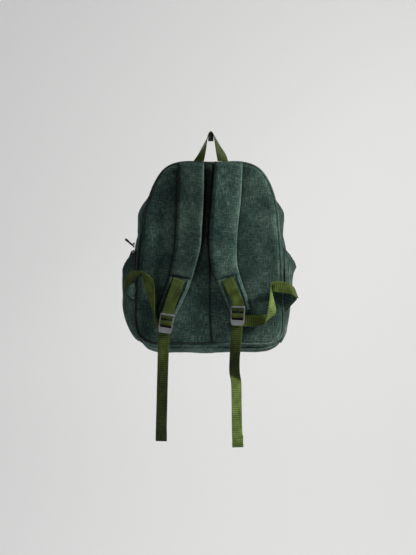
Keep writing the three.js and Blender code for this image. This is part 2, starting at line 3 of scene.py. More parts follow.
import bmesh
import bpy
import numpy as np
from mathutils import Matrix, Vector


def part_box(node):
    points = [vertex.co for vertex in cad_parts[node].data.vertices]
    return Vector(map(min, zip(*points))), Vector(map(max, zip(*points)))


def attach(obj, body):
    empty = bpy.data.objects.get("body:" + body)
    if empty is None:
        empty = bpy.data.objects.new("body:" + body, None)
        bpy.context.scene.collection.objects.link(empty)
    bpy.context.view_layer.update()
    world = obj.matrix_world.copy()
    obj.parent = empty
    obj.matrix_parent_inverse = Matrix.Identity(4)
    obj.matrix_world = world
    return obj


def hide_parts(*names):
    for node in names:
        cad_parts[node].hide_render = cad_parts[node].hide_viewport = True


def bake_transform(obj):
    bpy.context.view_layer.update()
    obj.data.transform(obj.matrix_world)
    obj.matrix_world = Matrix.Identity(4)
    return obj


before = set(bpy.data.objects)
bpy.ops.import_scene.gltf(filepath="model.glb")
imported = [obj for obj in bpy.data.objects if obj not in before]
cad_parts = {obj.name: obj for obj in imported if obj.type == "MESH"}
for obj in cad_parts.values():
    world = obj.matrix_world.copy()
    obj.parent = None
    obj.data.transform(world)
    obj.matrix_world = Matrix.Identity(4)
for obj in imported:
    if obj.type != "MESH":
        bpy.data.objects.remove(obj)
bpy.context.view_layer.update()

# Lengths below are in millimetres in the bag's own frame: z = 0 at the top seam, y = 0 at the
# back seam, x = 0 on the centre line, -y towards the shoulder straps. bag() turns them into
# metres in the row frame.
MM = 0.001
HANDLE_LOW, HANDLE_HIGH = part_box("grab_handle")
HANDLE_SHIFT = 0.003  # the handle is sewn a little to the right of the bag's centre line
BAG_X = (HANDLE_LOW.x + HANDLE_HIGH.x) / 2 - HANDLE_SHIFT
BAG_Z = -0.065
ORIGIN = np.array([BAG_X, 0.0, BAG_Z])
WEB_WIDTH = 25.0
WEB_THICK = 1.5


def bag(points):
    return np.asarray(points, float) * MM + ORIGIN


# ---------------------------------------------------------------- camera, lights, stage
CAMERA_DISTANCE = 1.8
CAMERA_LENS = 51.5
CAMERA_AIM = (-3.4, -262.0)  # x and z of the view's centre, in the bag's frame


def make_camera():
    data = bpy.data.cameras.new("camera")
    data.lens = CAMERA_LENS
    data.sensor_width = 36
    camera = bpy.data.objects.new("camera", data)
    bpy.context.scene.collection.objects.link(camera)
    aim = bag([CAMERA_AIM[0], 0, CAMERA_AIM[1]])
    camera.location = (aim[0], -CAMERA_DISTANCE, aim[2])
    camera.rotation_euler = (math.pi / 2, 0, 0)
    bpy.context.scene.camera = camera


def area_light(name, place, aim, size, power, color=(1, 1, 1)):
    data = bpy.data.lights.new(name, "AREA")
    data.shape = "DISK"
    data.size = size
    data.energy = power
    data.color = color
    light = bpy.data.objects.new(name, data)
    bpy.context.scene.collection.objects.link(light)
    light.location = place
    direction = Vector(aim) - Vector(place)
    light.rotation_euler = direction.to_track_quat("-Z", "Y").to_euler()


def make_backdrop():
    """A pale studio floor that sweeps up into a wall well behind the bag."""
    half_width, front, bend, radius, top = 5.0, -3.0, 2.6, 1.2, 3.6
    floor_z = -2.2
    profile = [(front, floor_z), (bend, floor_z)]
    for k in range(1, 13):
        angle = math.pi / 2 * k / 12
        profile.append((bend + radius * math.sin(angle), floor_z + radius * (1 - math.cos(angle))))
    profile.append((bend + radius, top))
    points = [(x, y, z) for y, z in profile for x in (-half_width, half_width)]
    faces = [(2 * k, 2 * k + 1, 2 * k + 3, 2 * k + 2) for k in range(len(profile) - 1)]
    mesh = bpy.data.meshes.new("floor_sweep")
    mesh.from_pydata(points, [], faces)
    mesh.polygons.foreach_set("use_smooth", [True] * len(faces))
    floor = bpy.data.objects.new("floor_sweep", mesh)
    bpy.context.scene.collection.objects.link(floor)
    material = bpy.data.materials.new("pale_floor")
    material.use_nodes = True
    shader = material.node_tree.nodes["Principled BSDF"]
    shader.inputs["Base Color"].default_value = (0.74, 0.735, 0.73, 1)
    shader.inputs["Roughness"].default_value = 0.9
    shader.inputs["Emission Color"].default_value = (0.96, 0.96, 0.97, 1)
    shader.inputs["Emission Strength"].default_value = 0.19
    mesh.materials.append(material)


def make_stage():
    area_light("key", (2.5, -0.95, 1.15), (0, 0, -0.3), 0.6, 135, (1.0, 0.985, 0.95))
    area_light("fill", (-1.5, -2.3, -0.5), (0, 0, -0.35), 1.2, 12, (0.94, 0.97, 1.0))
    area_light("rear", (-1.2, 2.0, 1.6), (0, 0.05, -0.3), 1.6, 26)
    area_light("wall_wash", (2.6, 1.2, 1.8), (0.4, 3.8, -0.4), 1.6, 20)
    world = bpy.data.worlds.new("studio")
    bpy.context.scene.world = world
    world.use_nodes = True
    background = world.node_tree.nodes["Background"]
    background.inputs["Color"].default_value = (0.90, 0.95, 1.0, 1)
    background.inputs["Strength"].default_value = 0.17
    make_backdrop()
    bpy.context.scene.view_settings.view_transform = "Standard"


# ---------------------------------------------------------------- material nodes
class Nodes:
    """A short way to write a material's node tree."""

    def __init__(self, name):
        self.material = bpy.data.materials.new(name)
        self.material.use_nodes = True
        self.tree = self.material.node_tree
        self.shader = self.tree.nodes["Principled BSDF"]

    def add(self, kind, inputs=(), **settings):
        node = self.tree.nodes.new(kind)
        for key, value in settings.items():
            setattr(node, key, value)
        for key, value in dict(inputs).items():
            self.plug(node.inputs[key], value)
        return node

    def plug(self, socket, value):
        if isinstance(value, bpy.types.NodeSocket):
            self.tree.links.new(value, socket)
        else:
            socket.default_value = value

    def math(self, operation, a, b=0.0, c=0.0):
        node = self.add("ShaderNodeMath", {0: a, 1: b, 2: c}, operation=operation)
        return node.outputs[0]

    def mix(self, factor, a, b):
        node = self.add("ShaderNodeMix", data_type="FLOAT")
        self.plug(node.inputs[0], factor)
        self.plug(node.inputs[2], a)
        self.plug(node.inputs[3], b)
        return node.outputs[0]

    def mix_color(self, factor, a, b, blend="MIX"):
        node = self.add("ShaderNodeMix", data_type="RGBA", blend_type=blend)
        self.plug(node.inputs[0], factor)
        self.plug(node.inputs[6], a)
        self.plug(node.inputs[7], b)
        return node.outputs[2]

    def uv(self):
        return self.add("ShaderNodeTexCoord").outputs["UV"]

    def place(self):
        return self.add("ShaderNodeTexCoord").outputs["Object"]

    def scaled(self, vector, scale):
        return self.add("ShaderNodeMapping", {"Vector": vector, "Scale": scale}).outputs[0]

    def noise(self, vector, scale, detail=2.0, rough=0.5):
        inputs = {"Vector": vector, "Scale": scale, "Detail": detail, "Roughness": rough}
        return self.add("ShaderNodeTexNoise", inputs).outputs[0]

    def bands(self, vector, pitch, direction, distort=0.0):
        inputs = {"Vector": vector, "Scale": 0.31416 / pitch, "Distortion": distort}
        return self.add("ShaderNodeTexWave", inputs, bands_direction=direction).outputs[1]

    def ramp(self, factor, stops):
        node = self.add("ShaderNodeValToRGB", {0: factor})
        band = node.color_ramp
        while len(band.elements) < len(stops):
            band.elements.new(0.5)
        for element, (place, color) in zip(band.elements, stops):
            element.position = place
            element.color = (*color, 1)
        return node.outputs[0]

    def bump(self, height, distance, strength=1.0, below=None):
        inputs = {"Height": height, "Distance": distance, "Strength": strength}
        if below is not None:
            inputs["Normal"] = below
        return self.add("ShaderNodeBump", inputs).outputs[0]

    def worn(self, color, shade=1.0, yellow_loss=0.0):
        """Colour times shade, times the mesh's marks, which are painted light and shade (painted
        highlights and painted shadows) as well as wear. The third argument sets how much yellow the paler places lose."""
        light_and_wear_marks = self.add("ShaderNodeAttribute", attribute_name="painted_light_and_wear").outputs["Fac"]
        shade = self.math("MULTIPLY", self.math("MULTIPLY_ADD", light_and_wear_marks, 1.3, 1.0), shade)
        blue_gain = self.math("MULTIPLY_ADD", self.math("MAXIMUM", light_and_wear_marks, 0.0), yellow_loss, 1.0)
        blue = self.math("MULTIPLY", shade, blue_gain)
        gray = self.add("ShaderNodeCombineColor", {0: shade, 1: shade, 2: blue}).outputs[0]
        return self.mix_color(1.0, color, gray, "MULTIPLY")

    def finish(self, color, normal, roughness, sheen=0.0, sheen_tint=(1, 1, 1), specular=0.3):
        self.plug(self.shader.inputs["Base Color"], color)
        self.plug(self.shader.inputs["Normal"], normal)
        self.plug(self.shader.inputs["Roughness"], roughness)
        self.shader.inputs["Specular IOR Level"].default_value = specular
        self.shader.inputs["Sheen Weight"].default_value = sheen
        self.shader.inputs["Sheen Roughness"].default_value = 0.5
        self.shader.inputs["Sheen Tint"].default_value = (*sheen_tint, 1)
        return self.material


def heathered_fabric(name, dark, mid, light, pitch=1.3 * MM, lift=1.0):
    """Coarse plain weave of mottled yarn: each yarn's colour runs along it for a few crossings."""
    n = Nodes(name)
    uv = n.uv()
    wander = n.noise(n.scaled(uv, (90, 90, 90)), 1.0)
    over = n.add("ShaderNodeTexChecker", {"Vector": uv, "Scale": 1 / pitch}).outputs[1]
    warp = n.bands(uv, pitch, "X", 0.15)
    weft = n.bands(uv, pitch, "Y", 0.15)
    height = n.mix(over, warp, weft)
    warp_yarn = n.noise(n.scaled(uv, (1 / (1.6 * MM), 1 / (11 * MM), 1)), 1.0, 3.0, 0.6)
    weft_yarn = n.noise(n.scaled(uv, (1 / (11 * MM), 1 / (1.6 * MM), 1)), 1.0, 3.0, 0.6)
    yarn = n.mix(over, warp_yarn, weft_yarn)
    along_warp = n.noise(n.scaled(uv, (1 / (2.2 * MM), 1 / (15 * MM), 1)), 1.0, 1.0)
    along_weft = n.noise(n.scaled(uv, (1 / (15 * MM), 1 / (2.2 * MM), 1)), 1.0, 1.0)
    slub = n.math("MAXIMUM", along_warp, along_weft)
    tone = n.math("ADD", n.math("MULTIPLY", yarn, 0.5), n.math("MULTIPLY", slub, 0.5))
    patch = n.noise(n.place(), 16.0, 3.0)
    tone = n.math("ADD", tone, n.math("MULTIPLY", n.math("SUBTRACT", patch, 0.5), 0.42))
    color = n.ramp(tone, [(0.38, dark), (0.52, mid), (0.68, light)])
    shaded = n.worn(color, n.math("MULTIPLY_ADD", height, 0.55, 0.55))
    fuzz = n.noise(n.place(), 900.0, 2.0)
    normal = n.bump(height, 0.45 * MM * lift, 0.7)
    normal = n.bump(fuzz, 0.3 * MM, 0.35, normal)
    normal = n.bump(wander, 1.2 * MM, 0.35, normal)
    rough = n.math("MULTIPLY_ADD", fuzz, 0.12, 0.82)
    return n.finish(shaded, normal, rough, sheen=0.05, sheen_tint=(0.7, 0.95, 0.85), specular=0.12)


def ribbed_webbing(name, rib_pitch, rib_weight, dark, mid, light):
    """Woven webbing: cross ribs that lean to a shallow chevron, over fine lengthwise yarns."""
    n = Nodes(name)
    uv = n.uv()
    parts = n.add("ShaderNodeSeparateXYZ", {0: uv})
    across = n.math("ABSOLUTE", n.math("SUBTRACT", parts.outputs[0], WEB_WIDTH / 2 * MM))
    lean = n.math("MULTIPLY_ADD", across, 0.12, parts.outputs[1])
    leaned = n.add("ShaderNodeCombineXYZ", {0: parts.outputs[0], 1: lean, 2: 0.0}).outputs[0]
    ribs = n.bands(leaned, rib_pitch, "Y", 0.1)
    yarns = n.bands(leaned, 1.05 * MM, "X", 0.2)
    over = n.add("ShaderNodeTexChecker", {"Vector": leaned, "Scale": 1 / (1.55 * MM)}).outputs[1]
    crossings = n.math("MULTIPLY", n.math("MULTIPLY", yarns, over), 0.35)
    height = n.math("MULTIPLY_ADD", ribs, 0.45, crossings)
    streak = n.noise(n.scaled(uv, (1 / (1.1 * MM), 1 / (30 * MM), 1)), 1.0, 2.0)
    creases = n.noise(n.place(), 38.0, 3.0, 0.6)
    tone = n.math("MULTIPLY_ADD", height, rib_weight, n.math("MULTIPLY", streak, 0.28))
    tone = n.math("MULTIPLY_ADD", creases, 0.46, tone)
    # A painted highlight along the webbing's edges, with some edge wear.
    edge_highlight_and_wear = n.math("MULTIPLY", n.math("SUBTRACT", across, 11.2 * MM), 1 / (1.3 * MM))
    edge_highlight_and_wear = n.math("MAXIMUM", edge_highlight_and_wear, 0.0)
    tone = n.math("MULTIPLY_ADD", edge_highlight_and_wear, 0.2, tone)
    plain = n.ramp(tone, [(0.25, dark), (0.5, mid), (0.8, light)])
    color = n.worn(plain, yellow_loss=0.7)
    normal = n.bump(height, 0.5 * MM, 0.8)
    normal = n.bump(n.noise(n.place(), 1500.0, 2.0), 0.12 * MM, 0.4, normal)
    rough = n.math("MULTIPLY_ADD", creases, 0.2, 0.5)
    return n.finish(color, normal, rough, sheen=0.04, sheen_tint=(0.8, 0.9, 0.5), specular=0.14)


def plain_weave(name, dark, light, pitch, roughness=0.8):
    """Fine even cloth or tape."""
    n = Nodes(name)
    uv = n.uv()
    over = n.add("ShaderNodeTexChecker", {"Vector": uv, "Scale": 1 / pitch}).outputs[1]
    height = n.mix(over, n.bands(uv, pitch, "X"), n.bands(uv, pitch, "Y"))
    cloudy = n.noise(n.place(), 60.0, 3.0)
    tone = n.math("ADD", n.math("MULTIPLY", height, 0.5), n.math("MULTIPLY", cloudy, 0.5))
    color = n.ramp(tone, [(0.25, dark), (0.75, light)])
    normal = n.bump(height, 0.25 * MM, 0.7)
    rough = n.math("MULTIPLY_ADD", cloudy, 0.15, roughness - 0.08)
    return n.finish(color, normal, rough, sheen=0.1, specular=0.25)


def moulded_plastic(name, dark, light, roughness, grain=1600.0):
    """Satin plastic with a fine moulded grain, faint flow marks and scuffs."""
    n = Nodes(name)
    place = n.place()
    flow = n.noise(n.scaled(place, (60, 60, 220)), 1.0, 3.0)
    scuffs = n.noise(n.scaled(place, (900, 900, 160)), 1.0, 4.0, 0.7)
    scuff = n.ramp(scuffs, [(0.6, (0, 0, 0)), (0.75, (1, 1, 1))])
    base = n.ramp(flow, [(0.3, dark), (0.7, light)])
    color = n.mix_color(n.math("MULTIPLY", scuff, 0.3), base, (*[min(1.0, c * 1.8) for c in light], 1))
    fine = n.noise(place, grain, 2.0)
    normal = n.bump(fine, 0.06 * MM, 0.4)
    rough = n.math("MULTIPLY_ADD", scuff, 0.15, n.math("MULTIPLY_ADD", fine, 0.1, roughness))
    return n.finish(color, normal, rough, specular=0.45)


def enamelled_metal(name, dark, light):
    """Black enamel worn a little to bare metal."""
    n = Nodes(name)
    place = n.place()
    worn = n.ramp(n.noise(place, 420.0, 4.0, 0.7), [(0.58, (0, 0, 0)), (0.68, (1, 1, 1))])
    color = n.mix_color(worn, (*dark, 1), (*light, 1))
    n.plug(n.shader.inputs["Metallic"], n.math("MULTIPLY", worn, 0.8))
    normal = n.bump(n.noise(place, 700.0, 2.0), 0.05 * MM, 0.4)
    rough = n.math("MULTIPLY_ADD", worn, 0.1, 0.46)
    return n.finish(color, normal, rough, specular=0.3)


def spun_thread(name, dark, light):
    """Sewing thread: a twist along each stitch."""
    n = Nodes(name)
    place = n.place()
    twist = n.add("ShaderNodeTexWave", {"Vector": place, "Scale": 900.0, "Distortion": 0.6}, bands_direction="DIAGONAL").outputs[1]
    color = n.ramp(twist, [(0.2, dark), (0.8, light)])
    return n.finish(color, n.bump(twist, 0.1 * MM, 0.6), n.math("MULTIPLY_ADD", twist, 0.1, 0.55), specular=0.3)


SHELL = heathered_fabric("heathered_shell", (0.009, 0.021, 0.0185), (0.029, 0.058, 0.049), (0.112, 0.172, 0.138))
# A paler copy of the shell fabric for the cords: a painted highlight where they catch the light.
PIPING = heathered_fabric("piping_fabric", (0.018, 0.03, 0.026), (0.045, 0.072, 0.06), (0.13, 0.18, 0.15), 1.0 * MM)
LINING = plain_weave("lining_weave", (0.008, 0.010, 0.010), (0.025, 0.03, 0.03), 0.7 * MM)
OLIVE = ((0.008, 0.013, 0.002), (0.040, 0.060, 0.008), (0.14, 0.19, 0.033))
WEBBING = ribbed_webbing("olive_webbing", 2.6 * MM, 0.24, *OLIVE)
LOOSE_WEBBING = ribbed_webbing("loose_olive_webbing", 4.7 * MM, 0.42, *OLIVE)
TAPE = plain_weave("black_tape", (0.002, 0.0025, 0.0025), (0.006, 0.007, 0.007), 0.9 * MM)
ZIP_TAPE = plain_weave("zip_tape_weave", (0.005, 0.007, 0.006), (0.018, 0.024, 0.021), 0.6 * MM)
COIL = moulded_plastic("zip_coil_nylon", (0.005, 0.006, 0.006), (0.012, 0.013, 0.013), 0.35)
METAL = enamelled_metal("black_enamel", (0.006, 0.006, 0.007), (0.045, 0.043, 0.04))
PULL = moulded_plastic("pull_rubber", (0.004, 0.004, 0.0045), (0.012, 0.012, 0.013), 0.55)
BUCKLE = moulded_plastic("buckle_acetal", (0.10, 0.10, 0.105), (0.17, 0.172, 0.178), 0.36)
THREAD = spun_thread("dark_thread", (0.008, 0.012, 0.010), (0.035, 0.05, 0.042))
OLIVE_THREAD = spun_thread("olive_thread", (0.02, 0.028, 0.008), (0.07, 0.09, 0.03))


# ---------------------------------------------------------------- shape helpers
def mix(a, b, t):
    return a + (b - a) * t


def smooth_line(points):
    """A smooth curve through points, as a function of t from 0 to 1, even in t per span."""
    p = np.asarray(points, float)
    spans = len(p) - 1
    ends = np.vstack([2 * p[0] - p[1], p, 2 * p[-1] - p[-2]])

    def at(t):
        t = np.atleast_1d(np.asarray(t, float)) * spans
        i = np.clip(np.floor(t).astype(int), 0, spans - 1)
        w = (t - i)[:, None]
        p0, p1, p2, p3 = (ends[i + k] for k in range(4))
        d0, d1, d2 = (np.sqrt(np.linalg.norm(b - a, axis=1))[:, None] for a, b in ((p0, p1), (p1, p2), (p2, p3)))
        d1 = np.maximum(d1, 1e-6)
        d0, d2 = np.where(d0 < 1e-6, d1, d0), np.where(d2 < 1e-6, d1, d2)
        m1 = ((p1 - p0) / d0 - (p2 - p0) / (d0 + d1) + (p2 - p1) / d1) * d1
        m2 = ((p2 - p1) / d1 - (p3 - p1) / (d1 + d2) + (p3 - p2) / d2) * d1
        return p1 + m1 * w + (3 * (p2 - p1) - 2 * m1 - m2) * w**2 + (2 * (p1 - p2) + m1 + m2) * w**3

    return at


LATTICE = np.random.default_rng(7).random((32, 32, 32))


def soft_noise(points, size, seed=0):
    """Smooth noise from -1 to 1 at points in millimetres, with bumps about `size` apart."""
    q = np.asarray(points, float) / size + seed * 7.31
    base = np.floor(q).astype(int)
    f = q - base
    f = f * f * (3 - 2 * f)
    total = 0
    for corner in range(8):
        offset = np.array([corner & 1, corner >> 1 & 1, corner >> 2 & 1])
        weight = np.prod(np.where(offset, f, 1 - f), axis=-1)
        i = (base + offset) % 32
        total = total + weight * LATTICE[i[..., 0], i[..., 1], i[..., 2]]
    return total * 2 - 1


def build(name, points, faces, uvs, material, smooth=True):
    """An object from points in the row frame, faces as lists of corners, and a UV per corner."""
    mesh = bpy.data.meshes.new(name)
    mesh.from_pydata([tuple(p) for p in points], [], [tuple(f) for f in faces])
    layer = mesh.uv_layers.new(name="UVMap")
    layer.data.foreach_set("uv", np.asarray(uvs, np.float32).ravel())
    mesh.polygons.foreach_set("use_smooth", [smooth] * len(mesh.polygons))
    mesh.update()
    obj = bpy.data.objects.new(name, mesh)
    bpy.context.scene.collection.objects.link(obj)
    obj.data.materials.append(material)
    return obj


def face_out(obj):
    """Turns the faces outwards."""
    work = bmesh.new()
    work.from_mesh(obj.data)
    bmesh.ops.recalc_face_normals(work, faces=work.faces)
    work.to_mesh(obj.data)
    work.free()
    return obj


def ring_solid(name, rings, material, looped=False, uv=None, painted_light_and_wear=None):
    """A closed body from rings of shape (rows, ring points, 3) in the bag's millimetres. Each
    ring runs along one face and back along the other, so its end caps are strips."""
    rings = np.asarray(rings, float)
    rows, size, _ = rings.shape
    if uv is None:
        steps_down = np.linalg.norm(np.diff(rings, axis=0), axis=2).mean(axis=1)
        down = np.concatenate([[0], np.cumsum(steps_down)])
        around = np.linalg.norm(np.roll(rings, -1, axis=1) - rings, axis=2).mean(axis=0)
        across = np.concatenate([[0], np.cumsum(around)])
        uv = lambda i, k: (across[k], down[i] if i < rows else down[-1] + steps_down[-1])
    faces, uvs = [], []
    for i in range(rows if looped else rows - 1):
        here, after = i * size, ((i + 1) % rows) * size
        for k in range(size):
            j = (k + 1) % size
            faces.append((here + k, after + k, after + j, here + j))
            uvs.extend([uv(i, k), uv(i + 1, k), uv(i + 1, k + 1), uv(i, k + 1)])
    if not looped:
        end = (rows - 1) * size
        for k in range(size // 2 - 1):
            back = size - 1 - k
            faces.append((k, k + 1, back - 1, back))
            faces.append((end + back, end + back - 1, end + k + 1, end + k))
            flat = [(k, 0.0), (k + 1, 0.0), (k + 1, 1.5), (k, 1.5)]
            uvs.extend(flat + flat)
    points = bag(rings.reshape(-1, 3))
    obj = face_out(build(name, points, faces, np.asarray(uvs, float) * MM, material))
    if painted_light_and_wear is not None:
        set_painted_light_and_wear(obj, np.broadcast_to(painted_light_and_wear, (rows, size)))
    return obj


def set_painted_light_and_wear(obj, amounts):
    """Marks points paler (above 0) or darker (below 0): painted light and shade, such as painted highlights on lit
    sides and painted shadows beside parts, together with some wear.
    """
    layer = obj.data.attributes.new("painted_light_and_wear", "FLOAT", "POINT")
    layer.data.foreach_set("value", np.asarray(amounts, np.float32).ravel())


def sheet_rings(outer, inner):
    """Rings for ring_solid from two matching grids of shape (rows, columns, 3)."""
    return np.concatenate([outer, inner[:, ::-1]], axis=1)


def tube_rings(centres, radius, sides, up=(0, 1, 0)):
    """Round rings along a line of centres. radius may be one number or one per centre."""
    centres = np.asarray(centres, float)
    along = np.gradient(centres, axis=0)
    along /= np.linalg.norm(along, axis=1)[:, None]
    side = np.cross(along, np.asarray(up, float))
    side /= np.linalg.norm(side, axis=1)[:, None]
    top = np.cross(side, along)
    angle = np.arange(sides) * 2 * np.pi / sides
    radius = np.broadcast_to(radius, len(centres))
    offset = np.cos(angle)[None, :, None] * side[:, None] + np.sin(angle)[None, :, None] * top[:, None]
    return centres[:, None] + offset * radius[:, None, None]


def finish_piece(obj, body, replaces=()):
    if replaces:
        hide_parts(*replaces)
    if isinstance(body, str):
        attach(obj, body)
    else:
        first, second, start, end = body
        tuple(bag(start))
        tuple(bag(end))
        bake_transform(obj)
    return obj


STITCH_RING = [(-0.5, 0.0), (-0.42, 0.7), (-0.15, 1.0), (0.15, 1.0), (0.42, 0.7), (0.5, 0.0)]


def stitches(name, path, normals, body, material=None, pitch=3.6, length=2.6, radius=0.32):
    """A run of separate stitches lying on a surface. path and normals are arrays along it."""
    path, normals = np.asarray(path, float), np.asarray(normals, float)
    steps = np.linalg.norm(np.diff(path, axis=0), axis=1)
    travel = np.concatenate([[0], np.cumsum(steps)])
    count = int(travel[-1] / pitch)
    faces, points, uvs = [], [], []
    sides = 5
    for s in (np.arange(count) + 0.5) * travel[-1] / max(count, 1):
        ends = [np.array([np.interp(s + d, travel, path[:, k]) for k in range(3)]) for d in (-length / 2, length / 2)]
        normal = np.array([np.interp(s, travel, normals[:, k]) for k in range(3)])
        normal /= np.linalg.norm(normal)
        axis = ends[1] - ends[0]
        side = np.cross(axis, normal)
        side /= np.linalg.norm(side) + 1e-9
        middle = (ends[0] + ends[1]) / 2 + normal * radius * 0.3
        base = len(points)
        points.append(middle + axis * STITCH_RING[0][0] - normal * radius * 0.8)
        for at, swell in STITCH_RING[1:-1]:
            centre = middle + axis * at - normal * radius * 0.8 * (abs(at) * 2) ** 2
            for k in range(sides):
                angle = 2 * math.pi * k / sides
                points.append(centre + radius * swell * (math.cos(angle) * side + math.sin(angle) * normal))
        points.append(middle + axis * STITCH_RING[-1][0] - normal * radius * 0.8)
        rings = len(STITCH_RING) - 2
        last = base + 1 + rings * sides
        for k in range(sides):
            j = (k + 1) % sides
            faces.append((base, base + 1 + j, base + 1 + k))
            uvs.extend([(0, 0)] * 3)
            for r in range(rings - 1):
                a, b = base + 1 + r * sides, base + 1 + (r + 1) * sides
                faces.append((a + k, a + j, b + j, b + k))
                uvs.extend([(0, 0)] * 4)
            end = base + 1 + (rings - 1) * sides
            faces.append((end + k, end + j, last))
            uvs.extend([(0, 0)] * 3)
    obj = face_out(build(name, bag(points), faces, uvs, material or THREAD))
    return finish_piece(obj, body)


# ---------------------------------------------------------------- the bag's wall
class Wall:
    """A band round the bag between outlines, each a list of (half width, z) from the top
    centre to the bottom centre. around is 0 at the top centre and 1 or -1 at the bottom
    centre, right positive; deep is 0 at the back and 1 at the front."""

    def __init__(self, back, middle, front, start, depth, lean=np.zeros_like, dent=np.zeros_like):
        self.curves = [smooth_line([(x, 0, z) for x, z in keys]) for keys in (back, middle, front)]
        self.floors = [keys[-1][1] for keys in (back, middle, front)]
        self.start, self.depth, self.lean, self.dent = start, depth, lean, dent

    def surface(self, around, deep):
        around, deep = np.broadcast_arrays(np.asarray(around, float), np.asarray(deep, float))
        shape = around.shape
        a, v = around.ravel(), deep.ravel()
        t = np.where(np.abs(a) > 1, 2 - np.abs(a), np.abs(a))
        side = np.where(np.abs(a) > 1, -np.sign(a), np.sign(a))
        weights = [(2 * v - 1) * (v - 1), 4 * v * (1 - v), v * (2 * v - 1)]
        x, z = np.zeros(len(a)), np.zeros(len(a))
        for curve, floor, weight in zip(self.curves, self.floors, weights):
            p = curve(t)
            x += weight * p[:, 0]
            z += weight * np.maximum(p[:, 2], floor)
        x -= self.dent(z) * 4 * v * (1 - v)
        y = self.start(z) + v * self.depth(z)
        return np.stack([side * x + self.lean(z), y, z], axis=1).reshape(*shape, 3)

    def inward(self, around, deep):
        step = 0.004
        along = self.surface(np.add(around, step), deep) - self.surface(np.add(around, -step), deep)
        inward = np.stack([along[..., 2], np.zeros(along.shape[:-1]), -along[..., 0]], axis=-1)
        return inward / (np.linalg.norm(inward, axis=-1)[..., None] + 1e-9)

    def at(self, around, deep, inset=0.0):
        return self.surface(around, deep) + self.inward(around, deep) * np.asarray(inset)[..., None]


KEYS = 12
ZIP_END = 7 / KEYS
CORNER = 10.5 / KEYS
SEAM = 0.0015
DEPTH_TOP, DEPTH_BOTTOM, BAG_HEIGHT = 84.0, 96.0, 434.0


def bag_depth(z):
    return mix(DEPTH_TOP, DEPTH_BOTTOM, np.clip(-np.asarray(z) / BAG_HEIGHT, 0, 1))


def bag_lean(z):
    """The hanging bag slumps to the right at its shoulders and its bottom corners."""
    z = np.asarray(z)
    return 6 * np.exp(-(((z + 40) / 110) ** 2)) + 5 * np.exp(-(((z + 425) / 45) ** 2))


def bag_dent(z):
    """The limp wall is pinched in below the shoulders, folds out, and is pinched again."""
    z = np.asarray(z)
    pinch = 7 * np.exp(-(((z + 74) / 20) ** 2)) + 3 * np.exp(-(((z + 165) / 14) ** 2))
    return pinch - 2 * np.exp(-(((z + 116) / 16) ** 2))


BACK_OUTLINE = [
    (0, -4), (72, -4), (104, -17), (127, -48), (146, -104), (153, -150), (158, -200),
    (161, -246), (164, -310), (165, -360), (157, -394), (128, -410), (0, -410),
]
MIDDLE_OUTLINE = [
    (0, 0), (70, -1), (105, -15), (136, -50), (165, -104), (170, -152), (174, -200),
    (177, -246), (177, -310), (173, -362), (165, -401), (143, -430), (0, -437),
]
FRONT_OUTLINE = [
    (0, -5), (66, -6), (96, -20), (120, -54), (142, -110), (150, -155), (155, -200),
    (158, -246), (160, -310), (160, -360), (152, -398), (126, -410), (0, -410),
]
WALL = Wall(BACK_OUTLINE, MIDDLE_OUTLINE, FRONT_OUTLINE, np.zeros_like, bag_depth, bag_lean, bag_dent)
SEAM_DEEP = -0.035  # the walls reach forward under the piping
FLAP_BLEND = ("bag", "front_flap", (0, 90, -252), (0, 90, -205))


def crumpled(points, push, amounts):
    """Moves points along push by noise: amounts lists (size, height) pairs, in millimetres."""
    total = sum(height * soft_noise(points, size, i + 1) for i, (size, height) in enumerate(amounts))
    return points + push * np.asarray(total)[..., None]


def wall_band(name, span, deeps, body, replaces, material=SHELL, thick=1.6, spacing=4.0, wrinkles=((60, 2.6), (24, 1.9), (11, 0.6)), outer=0.0, painted_light_and_wear=None):
    """A band of fabric on the bag's wall, wrinkled away from its edges."""
    rough_length = 1330.0 * abs(span[1] - span[0]) / 2
    around = np.linspace(span[0], span[1], max(4, int(rough_length / spacing)))
    columns = max(2, int(90 * (deeps[1] - deeps[0]) / spacing) + 1)
    deep = np.linspace(deeps[0], deeps[1], columns)
    grid_a, grid_d = np.meshgrid(around, deep, indexing="ij")
    face = WALL.at(grid_a, grid_d, outer)
    inward = WALL.inward(grid_a, grid_d)
    edge = np.minimum(grid_d - deeps[0], deeps[1] - grid_d) * 90
    calm = np.clip(edge / 8, 0, 1)[..., None]
    face = crumpled(face, inward * calm, wrinkles)
    rings = sheet_rings(face, face + inward * thick)
    return finish_piece(ring_solid(name, rings, material, painted_light_and_wear=painted_light_and_wear), body, replaces)


def add_main_wall():
    reach = ZIP_END - SEAM
    wall_band("rear_gusset", (-reach, reach), (SEAM_DEEP, 0.527), "bag", ["rear_gusset_strip"])
    wall_band("front_gusset", (-reach, reach), (0.673, 0.985), FLAP_BLEND, ["front_gusset_strip"])
    for side, sign in (("left", -1), ("right", 1)):
        wall_band(f"side_wall_{side}", (sign * (ZIP_END - 0.001), sign * (CORNER + 0.002)), (SEAM_DEEP, 0.985), "bag", [f"side_panel_{side}"])
    # The bottom wall is painted paler all over: painted light on its shaded underside, with some wear.
    wall_band("bottom_wall", (CORNER, 2 - CORNER), (SEAM_DEEP, 0.985), "bag", ["bottom_panel"], painted_light_and_wear=0.45)


# ---------------------------------------------------------------- back panel and its piping
def panel_grid(deep, ends, rows, columns, inset=0.0, extra=()):
    """A grid of x and z across the bag between two places down an outline. extra lists more
    columns, as parts of the half width."""
    edge = WALL.at(np.linspace(*ends, rows), deep, inset)
    s = np.linspace(-1, 1, columns)
    s = np.sort(np.concatenate([np.sign(s) * np.abs(s) ** 0.85, extra]))
    middle = bag_lean(edge[:, 2])[:, None]
    x = middle + (edge[:, None, 0] - middle) * s[None, :]
    z = np.repeat(edge[:, None, 2], len(s), axis=1)
    return x, z, s


